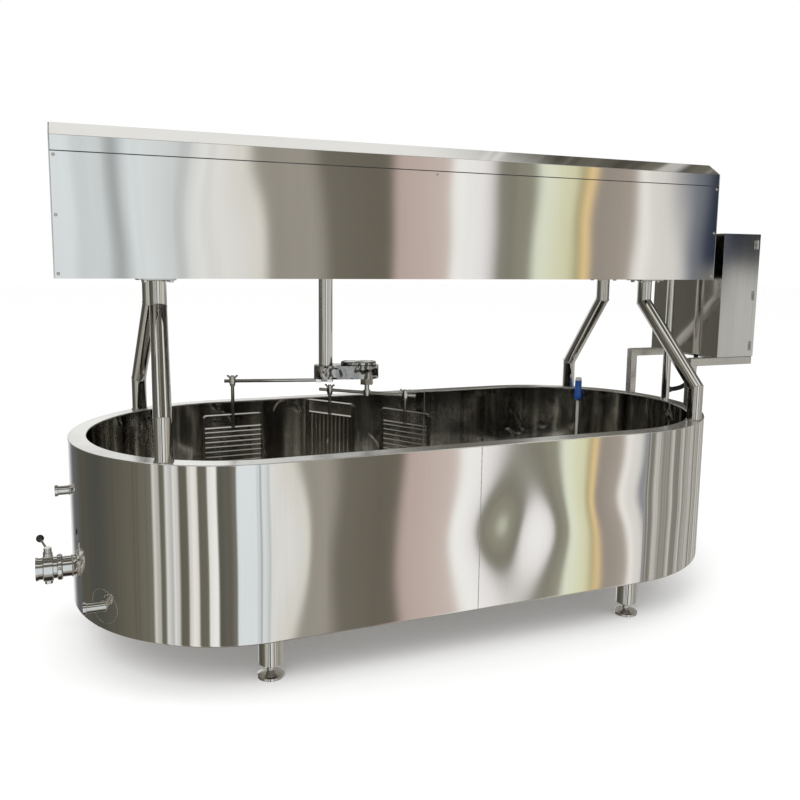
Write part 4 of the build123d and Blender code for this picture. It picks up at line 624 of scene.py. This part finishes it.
seam(SEAM_X, -VAT_R, SHELL_BASE + 0.004, RIM_LOW.z, "seam_front")
seam(SEAM_X, VAT_R, SHELL_BASE + 0.004, RIM_LOW.z, "seam_rear")
for number, offset in enumerate(BASIN_SEAMS):
    seam(MID_X + offset, VAT_R - RIM_WIDTH - 0.0005, FLOOR_LEFT + 0.06, RIM_LOW.z,
         f"seam_basin_{number}", 0.0022)

# Posts with mitred bends and weld beads
POST_R = 0.03015
POST_SIDES = 64


def offset_on(offset, direction, cut):
    """Moves a level offset across a tube's direction and onto a cutting plane."""
    turned_offset = UP.rotation_difference(direction) @ offset
    return turned_offset - direction * (turned_offset.dot(cut) / direction.dot(cut))


def tube_through(points, name, replaced):
    """Round tube of the vat's frame, with a sharp mitre at each point between the ends."""
    level = [
        Vector((math.cos(angle), math.sin(angle), 0)) * POST_R
        for angle in (2 * math.pi * k / POST_SIDES for k in range(POST_SIDES))
    ]
    work = bmesh.new()
    sections = [[points[0] + o for o in level]]
    for before, point, after in zip(points, points[1:], points[2:]):
        first = (point - before).normalized()
        second = (after - point).normalized()
        cut = (first + second).normalized()
        sections.append([point + offset_on(o, first, cut) for o in level])
    sections.append([points[-1] + o for o in level])
    rings(work, sections)
    finished(work, name, "vat", TUBE_STEEL, replaced, 22.0)


LIFT = UP * 0.001
LOW_BEND = RIM_TOP + 0.137
HIGH_BEND = BEAM_LOW.z - 0.100
PLATE_TOP = BEAM_LOW.z + 0.002
PLATE_THICK = 0.008
HEAD_PLATE = 0.118
POST_HEAD_Y = 0.152
POST_PLACES = {"left": (-1.063, -1.035), "right": (1.092, 1.055)}
RIM_LINE = VAT_R - RIM_WIDTH / 2


def head_plate(centre, name):
    """Square plate with rounded corners under the beam."""
    work = bmesh.new()
    size = Matrix.Diagonal((HEAD_PLATE, HEAD_PLATE, PLATE_THICK, 1))
    bmesh.ops.create_cube(work, size=1.0, matrix=Matrix.Translation(centre) @ size)
    upright = [e for e in work.edges if abs(e.verts[0].co.z - e.verts[1].co.z) > PLATE_THICK / 2]
    bmesh.ops.bevel(work, geom=upright, offset=0.008, segments=4, affect="EDGES", profile=0.5)
    rounded(finished(work, name, "vat", SATIN_STEEL), 0.8 * MM)


for side, (base_x, head_x) in POST_PLACES.items():
    for row, row_name in ((-1, "front"), (1, "rear")):
        base_y = row * math.sqrt(RIM_LINE**2 - (abs(base_x) - END_X) ** 2)
        head = Vector((MID_X + head_x, row * POST_HEAD_Y, PLATE_TOP - PLATE_THICK))
        base = Vector((MID_X + base_x, base_y, RIM_TOP))
        corner = Vector((base.x, base.y, LOW_BEND))
        upper = Vector((head.x, head.y, HIGH_BEND))
        name = f"{row_name}_{side}"
        tube_through([base, corner, upper, head], "tube_" + name, ("post_" + name,))
        head_plate(head + Vector((0, 0, PLATE_THICK / 2)), "plate_" + name)
        bead(circle(base + LIFT, UP, POST_R), UP, 0.003, "weld_rim_" + name)
        bead(circle(head - LIFT, UP, POST_R), UP, 0.0025, "weld_head_" + name)
        for place, before, after in ((corner, base, upper), (upper, corner, head)):
            first = (place - before).normalized()
            cut = (first + (after - place).normalized()).normalized()
            loop = [place + offset_on(o, first, cut) for o in circle(Vector(), UP, POST_R)]
            bead(loop, cut, 0.0011, f"weld_bend_{name}_{place == upper:d}")

# Nodes that keep their CAD shape, with a finish and a bevel in millimetres
for node, surface, bevel in (
    ("beam_front_panel", BEAM_STEEL, 0.95),
    ("beam_rear_panel", BEAM_STEEL, 0.95),
    ("beam_roof_cap", BEAM_STEEL, 0.95),
    ("beam_end_plates", BEAM_STEEL, 1.0),
    ("beam_frame", SATIN_STEEL, 0.0),
    ("base_plate", SATIN_STEEL, 0.0),
    ("leg_tubes", TUBE_STEEL, 0.8),
    ("levelling_feet", PART_STEEL, 0.6),
    ("outlet_pipe", TUBE_STEEL, 0.4),
    ("outlet_union", PART_STEEL, 0.8),
    ("valve_body", PART_STEEL, 0.8),
    ("valve_disc", PART_STEEL, 0.8),
    ("valve_handle", PART_STEEL, 0.8),
    ("jacket_nozzles", TUBE_STEEL, 0.8),
    ("wiring_post", TUBE_STEEL, 0.0),
    ("post_bolts", PART_STEEL, 0.8),
    ("end_buffers", BLACK_RUBBER, 1.5),
    ("control_box", BOX_STEEL, 0.8),
    ("control_door", BOX_STEEL, 1.0),
    ("hinge_pins", PART_STEEL, 0.5),
    ("mounting_plate", SATIN_STEEL, 0.4),
    ("box_bracket", SATIN_STEEL, 3.0),
    ("conduit_glands", BLACK_GLOSS, 0.8),
    ("probe_holder", PART_STEEL, 0.6),
    ("pilot_lamps", LAMP_WHITE, 0.5),
    ("door_latch", BLACK_GLOSS, 0.6),
    ("start_button", BUTTON_GREEN, 0.3),
    ("stop_button", BUTTON_RED, 0.3),
    ("emergency_stop", BUTTON_RED, 0.3),
    ("carriage_plate", SATIN_STEEL, 0.8),
    ("bearing_blocks", MOTOR_PAINT, 1.0),
    ("agitator_gearmotor", MOTOR_PAINT, 0.8),
    ("travel_gearmotor", MOTOR_PAINT, 0.8),
    ("sun_pulley", SATIN_STEEL, 0.3),
    ("drive_axle", SATIN_STEEL, 0.8),
    ("idle_axle", SATIN_STEEL, 0.8),
    ("main_shaft", TUBE_STEEL, 0.3),
    ("head_casing", CASING_STEEL, 2.0),
    ("casing_cover", CASING_STEEL, 1.2),
    ("drive_belt", BLACK_RUBBER, 0.5),
    ("long_arm", TUBE_STEEL, 0.8),
    ("short_arm", TUBE_STEEL, 0.8),
    ("wing_nut_long", PART_STEEL, 1.0),
    ("wing_nuts_short", PART_STEEL, 1.0),
    ("planet_spindle", PART_STEEL, 0.8),
    ("harp_1", SHADED_BLADE_STEEL, 0.3),
    ("harp_2", SHADED_BLADE_STEEL, 0.3),
    ("harp_3", SHADED_BLADE_STEEL, 0.3),
):
    refined(node, surface, bevel)

# Painted shade in the long joints between the side panels and the roof cap: thin dark strips that
# stand in for the shadow line of the joint
SHADE_STRIP_HIGH = 0.0036
SHADE_STRIP_DEEP = 0.0012
SHADE_STRIP_PROUD = 0.00005
for row in (-1, 1):
    work = bmesh.new()
    shade_strip_y = row * (END_HIGH.y - SHADE_STRIP_DEEP / 2 + SHADE_STRIP_PROUD)
    size = Matrix.Diagonal((ROOF_HIGH.x - ROOF_LOW.x, SHADE_STRIP_DEEP, SHADE_STRIP_HIGH, 1))
    place = Matrix.Translation((MID_X, shade_strip_y, ROOF_LOW.z))
    bmesh.ops.create_cube(work, size=1.0, matrix=place @ size)
    # This black rubber strip is painted shade, a dark piece put where the joint only has shadow
    finished(work, "joint_front" if row < 0 else "joint_rear", "vat", BLACK_RUBBER)

# Panel screws with a domed head and a cross recess
SCREW_R = 0.0055
SCREW_RISE = 0.003
SCREW_EDGE = 0.0008
SCREW_ROWS = (0.016, 0.206, 0.397)
SCREW_END_X = 1.356
SCREW_SIDES = 24
RECESS_WIDTH = 0.0006
RECESS_DEPTH = 0.0011
RECESS_TURN = 20


def screw(centre, out, name, replaced=()):
    """Pan head screw; out is the side that it faces along Y."""
    work = bmesh.new()
    axis = Vector((0, out, 0))
    profile = [(SCREW_R, 0.0), (SCREW_R, SCREW_EDGE)]
    profile += [(SCREW_R * math.cos(a), SCREW_EDGE + (SCREW_RISE - SCREW_EDGE) * math.sin(a))
                for a in (math.radians(15 * i) for i in range(1, 6))]
    rings(work, [circle(centre + axis * z, axis, r, SCREW_SIDES) for r, z in profile])
    top = centre + axis * SCREW_RISE
    for turn in (0, 90):
        recess = Matrix.Rotation(math.radians(turn + RECESS_TURN), 4, "Y")
        size = Matrix.Diagonal((SCREW_R * 1.1, RECESS_WIDTH, RECESS_DEPTH, 1))
        bmesh.ops.create_cube(work, size=1.0, matrix=Matrix.Translation(top) @ recess @ size)
    finished(work, name, "vat", PART_STEEL, replaced)


screw_number = 0
for face_y, out in ((END_LOW.y, -1), (END_HIGH.y, 1)):
    places = [(MID_X + x, BEAM_LOW.z + z) for x in (-SCREW_END_X, SCREW_END_X)
              for z in SCREW_ROWS]
    places.append((MID_X, BEAM_LOW.z + SCREW_ROWS[-1]))
    for x, z in places:
        screw(Vector((x, face_y, z)), out, f"screw_{screw_number}",
              ("panel_screws",) if screw_number == 0 else ())
        screw_number += 1

# Ball on the valve lever
KNOB_LOW, KNOB_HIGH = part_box("valve_knob")
KNOB_R = 0.0145
work = bmesh.new()
bmesh.ops.create_uvsphere(work, u_segments=32, v_segments=20, radius=KNOB_R,
                          matrix=Matrix.Translation((KNOB_LOW + KNOB_HIGH) / 2))
finished(work, "lever_ball", "valve", BLACK_GLOSS, ("valve_knob",))

# Conduit: ribbed black hose from the wiring post into the cabinet
WIRING_X = MID_X + 1.331
WIRING_REACH = 0.017
CONDUIT_Z = 0.843
CONDUIT_R = 0.011
CONDUIT_RUN = 0.066
CONDUIT_TURN = math.radians(30)
CONDUIT_END = 0.010
RIB = 0.0008
RIB_STEPS = 4
RIB_STEP = 0.0012
HOSE_SIDES = 24
route = [Vector((WIRING_X + WIRING_REACH, 0.0, CONDUIT_Z))]
for turn in range(3):
    step = Vector((math.cos(turn * CONDUIT_TURN), 0.0, math.sin(turn * CONDUIT_TURN)))
    route.append(route[-1] + step * CONDUIT_RUN)
route.append(Vector((route[-1].x, 0.0, CABINET_LOW.z + CONDUIT_END)))
curve = bpy.data.curves.new("conduit_line", "CURVE")
curve.dimensions = "3D"
spline = curve.splines.new("NURBS")
spline.points.add(len(route) - 1)
for point, place in zip(spline.points, route):
    point.co = (*place, 1.0)
spline.order_u = 3
spline.use_endpoint_u = True
spline.resolution_u = 40
line_object = bpy.data.objects.new("conduit_line", curve)
bpy.context.scene.collection.objects.link(line_object)
bpy.context.view_layer.update()
line_mesh = bpy.data.meshes.new_from_object(line_object)
path = [v.co.copy() for v in line_mesh.vertices]
bpy.data.objects.remove(line_object)


def evenly(points, spacing):
    """Points at an even spacing along a line."""
    even = [points[0]]
    left = spacing
    for first, second in zip(points, points[1:]):
        length = (second - first).length
        walked = 0.0
        while length - walked >= left:
            walked += left
            even.append(first.lerp(second, walked / length))
            left = spacing
        left -= length - walked
    return even


even_path = evenly(path, RIB_STEP)
work = bmesh.new()
sections = []
for i, point in enumerate(even_path):
    ahead = even_path[min(i + 1, len(even_path) - 1)] - even_path[max(i - 1, 0)]
    radius = CONDUIT_R - RIB * (0.5 - 0.5 * math.cos(2 * math.pi * i / RIB_STEPS))
    side = Vector((0, 1, 0))
    other = ahead.normalized().cross(side)
    sections.append([
        point + (side * math.cos(t) + other * math.sin(t)) * radius
        for t in (2 * math.pi * k / HOSE_SIDES for k in range(HOSE_SIDES))
    ])
rings(work, sections)
finished(work, "conduit_hose", "vat", CONDUIT_BLACK, ("conduit",), 60.0)

# Probe with a turned grip
GRIP_LOW, GRIP_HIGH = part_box("probe_grip")
ROD_LOW, ROD_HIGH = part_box("probe_rod")
PROBE_X = (GRIP_LOW.x + GRIP_HIGH.x) / 2
PROBE_Y = (GRIP_LOW.y + GRIP_HIGH.y) / 2
GRIP_R = 0.017
COLLAR_R = (GRIP_HIGH.x - GRIP_LOW.x) / 2
COLLAR_HIGH = 0.026
COLLAR_STEPS = 12
CAP_HIGH = 0.016
GRIP_SPAN = GRIP_HIGH.z - GRIP_LOW.z
grip_profile = [(0.0, 0.0), (GRIP_R - 0.001, 0.0), (GRIP_R, 0.001)]
for i in range(1, COLLAR_STEPS + 1):
    swell = math.sin(math.pi * i / COLLAR_STEPS) ** 0.7
    grip_profile.append(
        (GRIP_R + (COLLAR_R - GRIP_R) * swell, 0.001 + COLLAR_HIGH * i / COLLAR_STEPS)
    )
grip_profile += [
    (GRIP_R, GRIP_SPAN - CAP_HIGH - 0.002), (GRIP_R * 0.97, GRIP_SPAN - CAP_HIGH),
    (0.0, GRIP_SPAN - CAP_HIGH),
]
turned(grip_profile, Vector((PROBE_X, PROBE_Y, GRIP_LOW.z)), "grip_body", "probe", GRIP_BLUE,
       ("probe_grip",))
cap_profile = [
    (0.0, 0.0), (GRIP_R * 0.94, 0.0), (GRIP_R * 0.94, 0.009), (GRIP_R * 0.88, 0.0125),
    (GRIP_R * 0.7, 0.0152), (GRIP_R * 0.3, CAP_HIGH), (0.0, CAP_HIGH),
]
turned(cap_profile, Vector((PROBE_X, PROBE_Y, GRIP_HIGH.z - CAP_HIGH)), "grip_cap", "probe",
       ROD_PALE)
ROD_R = 0.008
ROD_SPAN = ROD_HIGH.z - ROD_LOW.z
rod_profile = [
    (0.0, 0.0), (0.003, 0.0), (0.0042, 0.001), (0.0045, 0.003), (ROD_R, ROD_SPAN * 2 / 3),
    (ROD_R, ROD_SPAN), (0.0, ROD_SPAN),
]
turned(rod_profile, Vector((PROBE_X, PROBE_Y, ROD_LOW.z)), "rod_body", "probe", ROD_PALE,
       ("probe_rod",))

# Weld beads where the pipes meet the shell, and around the drain's patch
OUTLET_R = 0.03805
NOZZLE_R = 0.01685
PATCH_R = 0.059


def end_wall_loop(y, z, radius):
    """Circle around a pipe, laid on the rounded end of the shell."""
    points = []
    for i in range(FINE_SIDES):
        angle = 2 * math.pi * i / FINE_SIDES
        side = y + radius * math.cos(angle)
        x = MID_X - END_X - math.sqrt(VAT_R**2 - side**2)
        points.append(Vector((x, side, z + radius * math.sin(angle))))
    return points


for name, y, z, radius, thick in (
    ("weld_outlet", 0.0, OUTLET_Z, OUTLET_R, 0.003),
    ("weld_inlet", 0.0, INLET_Z, NOZZLE_R, 0.0022),
    ("weld_drain", DRAIN_Y, DRAIN_Z, NOZZLE_R, 0.0022),
    ("weld_patch", DRAIN_Y, DRAIN_Z, PATCH_R, 0.0011),
):
    bead(end_wall_loop(y, z, radius), ALONG, thick, name)

# Welds of the legs under the shell
LEG_LOW, LEG_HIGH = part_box("leg_tubes")
LEG_R = 0.0425
PAD_R = 0.060
LEG_BEAD = 0.0025
for number, x in enumerate((LEG_LOW.x + PAD_R, LEG_HIGH.x - PAD_R)):
    for row in (-1, 1):
        place = Vector((x, row * (LEG_HIGH.y - PAD_R), SHELL_BASE - LEG_BEAD))
        bead(circle(place, UP, LEG_R), UP, LEG_BEAD, f"weld_leg_{number}_{row > 0:d}")

# Pale floor
FLOOR_REACH = 40.0
work = bmesh.new()
bmesh.ops.create_grid(work, x_segments=2, y_segments=2, size=FLOOR_REACH)
floor_mesh = bpy.data.meshes.new("floor")
work.to_mesh(floor_mesh)
work.free()
floor = bpy.data.objects.new("floor", floor_mesh)
bpy.context.scene.collection.objects.link(floor)
floor.location.z = -0.0005
floor_material = material(
    "floor_pale", (0.93, 0.93, 0.93), 0.0, 0.9, Emission_Color=(1.0, 1.0, 1.0, 1.0),
    Emission_Strength=0.10,
)[0]
floor_mesh.materials.append(floor_material)
floor.visible_glossy = False

# World: white for the camera, and for the mirrored rays a hall with upright bands by azimuth,
# which is the compass angle in degrees from the front side, positive to the right
world = bpy.data.worlds.new("studio")
bpy.context.scene.world = world
world.use_nodes = True
w = Shade(world.node_tree)
for old in list(world.node_tree.nodes):
    world.node_tree.nodes.remove(old)
direction = w.node("ShaderNodeTexCoord", out="Generated")
dx, dy, dz = w.axes(direction)
azimuth = w.node("ShaderNodeMath", dx, 0.0 - dy, operation="ARCTAN2") * (180 / math.pi)
wander = w.node("ShaderNodeTexNoise", Vector=direction, Scale=2.4, Detail=2.0, out="Fac")
turn = azimuth + (wander - 0.5) * 1.6


def seen(red, green, blue):
    """A colour as it looks on the screen, made a shader's linear one."""
    return (red**2.2, green**2.2, blue**2.2)


def upright_noise(scale, detail, rough, place):
    """Noise that only varies with the azimuth."""
    along = w.node("ShaderNodeCombineXYZ", turn, *place)
    return w.node(
        "ShaderNodeTexNoise", Scale=scale, Detail=detail, Roughness=rough, Vector=along, out="Fac"
    )


def hall_bands(stops):
    """Upright bands of the hall by azimuth, and how much they count there."""
    first, last = stops[0][0], stops[-1][0]
    colours = w.ramp(
        (turn - first) / (last - first),
        [((angle - first) / (last - first), seen(*colour)) for angle, colour in stops],
    )
    return colours, turn.above(first + 1.0, 1.0) * (1.0 - turn.above(last - 1.0, 1.0))


PALE_BLUE = (0.90, 0.93, 0.94)
BROWN = (0.42, 0.40, 0.36)
OLIVE = (0.40, 0.40, 0.35)
FRONT_HALL = (
    (-14.0, (0.48, 0.46, 0.42)), (-12.0, PALE_BLUE), (1.6, PALE_BLUE),
    (2.6, (0.66, 0.68, 0.68)), (3.4, PALE_BLUE), (7.5, (0.84, 0.86, 0.86)),
    (10.6, (0.97, 0.97, 0.96)), (12.0, (0.92, 0.91, 0.88)), (12.8, (0.60, 0.58, 0.54)),
    (15.6, (0.64, 0.62, 0.58)), (17.2, (0.45, 0.43, 0.39)), (21.3, (0.42, 0.40, 0.36)),
    (22.0, (0.76, 0.69, 0.66)), (25.2, (0.80, 0.74, 0.71)), (25.9, (0.99, 0.99, 0.98)),
    (28.1, (0.96, 0.95, 0.95)), (28.9, (0.54, 0.53, 0.48)), (30.7, (0.58, 0.57, 0.51)),
    (31.4, (0.92, 0.94, 0.86)), (33.6, (0.88, 0.88, 0.74)), (34.3, (0.70, 0.66, 0.50)),
    (34.8, (0.99, 0.86, 0.62)), (35.4, (0.60, 0.57, 0.54)), (37.6, (0.66, 0.62, 0.58)),
    (38.4, (0.98, 0.97, 0.95)), (39.8, (0.90, 0.89, 0.87)), (41.2, (0.45, 0.47, 0.51)),
    (42.6, (0.20, 0.23, 0.30)), (47.0, (0.10, 0.12, 0.17)),
)
LEFT_HALL = (
    (-168.0, (0.44, 0.45, 0.47)), (-152.0, (0.40, 0.41, 0.42)), (-138.0, (0.36, 0.35, 0.32)),
    (-120.0, (0.33, 0.33, 0.31)), (-85.0, (0.42, 0.405, 0.36)), (-70.0, (0.46, 0.45, 0.41)),
    (-68.3, (0.86, 0.85, 0.82)), (-65.0, (0.78, 0.77, 0.75)), (-63.5, OLIVE),
    (-61.0, (0.45, 0.44, 0.40)), (-59.6, (0.88, 0.88, 0.86)), (-55.6, (0.74, 0.74, 0.74)),
    (-54.6, (0.92, 0.92, 0.91)), (-51.6, (0.84, 0.84, 0.82)), (-50.2, OLIVE), (-45.4, BROWN),
    (-44.4, (0.84, 0.84, 0.82)), (-41.0, (0.95, 0.94, 0.92)), (-38.6, (0.90, 0.89, 0.87)),
    (-37.4, BROWN), (-31.8, (0.44, 0.43, 0.39)), (-30.8, (0.93, 0.93, 0.91)),
    (-25.6, (0.97, 0.97, 0.96)), (-24.2, (0.37, 0.36, 0.33)), (-16.0, (0.43, 0.42, 0.39)),
    (-13.0, (0.52, 0.50, 0.46)),
)

# Sides and back of the hall
side_noise = upright_noise(0.16, 4.0, 0.8, (3.0, 7.0))
sides = w.ramp(side_noise, (
    (0.0, seen(0.12, 0.12, 0.12)), (0.44, seen(0.30, 0.29, 0.27)),
    (0.50, seen(0.46, 0.45, 0.41)), (0.54, seen(0.36, 0.35, 0.32)),
    (0.58, seen(0.90, 0.90, 0.88)), (1.0, seen(0.98, 0.98, 0.97)),
))
hall = sides
for bands, share in (hall_bands(FRONT_HALL), hall_bands(LEFT_HALL)):
    hall = w.blend(share, hall, bands)
BACK_FROM = 163.0
behind = azimuth._math("ABSOLUTE").above(BACK_FROM, 10.0)
hall = w.blend(behind * (1.0 - dz.above(0.50, 0.10)), hall, seen(0.97, 0.97, 0.96))

# On the right the wall is pale below eye level
RIGHT_FROM = 41.5
PALE_FROM = 43.0
near_floor = w.blend(side_noise.above(0.5, 0.06), seen(0.56, 0.55, 0.52), seen(0.80, 0.79, 0.77))
pale_wall = w.blend(turn.above(PALE_FROM, 0.3), seen(0.50, 0.50, 0.49), seen(0.84, 0.84, 0.82))
low_wall = w.blend(dz.above(-0.13, 0.02), near_floor, pale_wall)
low_right = turn.above(RIGHT_FROM, 0.8) * (1.0 - dz.above(-0.010, 0.014)) * 0.92
hall = w.blend(low_right, hall, low_wall)

# Fine lines, the ceiling and its lamps, and the hall's floor, by the height of the direction
fine_noise = upright_noise(0.42, 3.0, 0.7, (11.0, 5.0))
hall = w.blend(fine_noise.above(0.56, 0.06) * 0.16, hall, seen(0.20, 0.19, 0.18))
aside = (turn - 16.0)._math("ABSOLUTE").above(52.0, 8.0)
overhead = w.blend(aside * 0.75, seen(0.40, 0.385, 0.345), sides)
overhead = w.blend(fine_noise.above(0.52, 0.05) * 0.45, overhead, seen(0.22, 0.21, 0.19))
mirrored = hall
for edge, soft, colour in (
    (0.46, 0.10, overhead), (0.765, 0.04, seen(0.94, 0.94, 0.93)), (0.885, 0.012, overhead),
):
    mirrored = w.blend(dz.above(edge, soft), mirrored, colour)
for edge, soft, colour in (
    (-0.60, 0.08, seen(0.66, 0.64, 0.61)), (-0.88, 0.05, seen(0.22, 0.21, 0.20)),
):
    mirrored = w.blend(1.0 - dz.above(edge, soft), mirrored, colour)
mirror = w.node("ShaderNodeBackground", mirrored, 1.0)
plain = w.node("ShaderNodeBackground", (1.0, 1.0, 1.0), 1.0)
glossy = w.node("ShaderNodeLightPath", out="Is Glossy Ray")
shown = w.node("ShaderNodeMixShader", glossy, plain, mirror)
output = w.tree.nodes.new("ShaderNodeOutputWorld")
w.feed(output.inputs["Surface"], shown)


def soft_light(name, place, power):
    """Large square light that looks at the middle of the machine."""
    data = bpy.data.lights.new(name, "AREA")
    data.shape = "SQUARE"
    data.size = 3.0
    data.energy = power
    made = bpy.data.objects.new(name, data)
    bpy.context.scene.collection.objects.link(made)
    made.location = place
    aim = Vector((0.0, 0.0, 0.8)) - Vector(place)
    made.rotation_euler = aim.to_track_quat("-Z", "Y").to_euler()
    made.visible_camera = False
    made.visible_glossy = False


soft_light("key", (-3.5, -4.0, 5.0), 160)
soft_light("fill", (4.5, -3.0, 4.0), 60)

# Camera fitted to the photo: its place in metres, its angles in degrees, its lens in pixels
CAMERA_AT = Vector((MID_X - 1.317, -3.122, 1.449))
YAW, PITCH, ROLL = (math.radians(a) for a in (21.404, 7.691, 0.642))
FOCAL_PX = 812.92
CENTRE_PX = (390.588, 369.409)
PHOTO_PX = 800
SENSOR = 36.0
forward = Vector((
    math.sin(YAW) * math.cos(PITCH), math.cos(YAW) * math.cos(PITCH), -math.sin(PITCH),
))
right = Vector((math.cos(YAW), -math.sin(YAW), 0.0))
up = right.cross(forward)
right, up = (
    right * math.cos(ROLL) + up * math.sin(ROLL),
    -right * math.sin(ROLL) + up * math.cos(ROLL),
)
camera_data = bpy.data.cameras.new("camera")
camera_data.sensor_width = SENSOR
camera_data.sensor_fit = "HORIZONTAL"
camera_data.lens = FOCAL_PX * SENSOR / PHOTO_PX
camera_data.shift_x = (PHOTO_PX / 2 - CENTRE_PX[0]) / PHOTO_PX
camera_data.shift_y = (CENTRE_PX[1] - PHOTO_PX / 2) / PHOTO_PX
camera = bpy.data.objects.new("camera", camera_data)
bpy.context.scene.collection.objects.link(camera)
turned_axes = Matrix((right, up, -forward)).transposed()
camera.matrix_world = Matrix.Translation(CAMERA_AT) @ turned_axes.to_4x4()
bpy.context.scene.camera = camera
bpy.context.scene.view_settings.view_transform = "Standard"
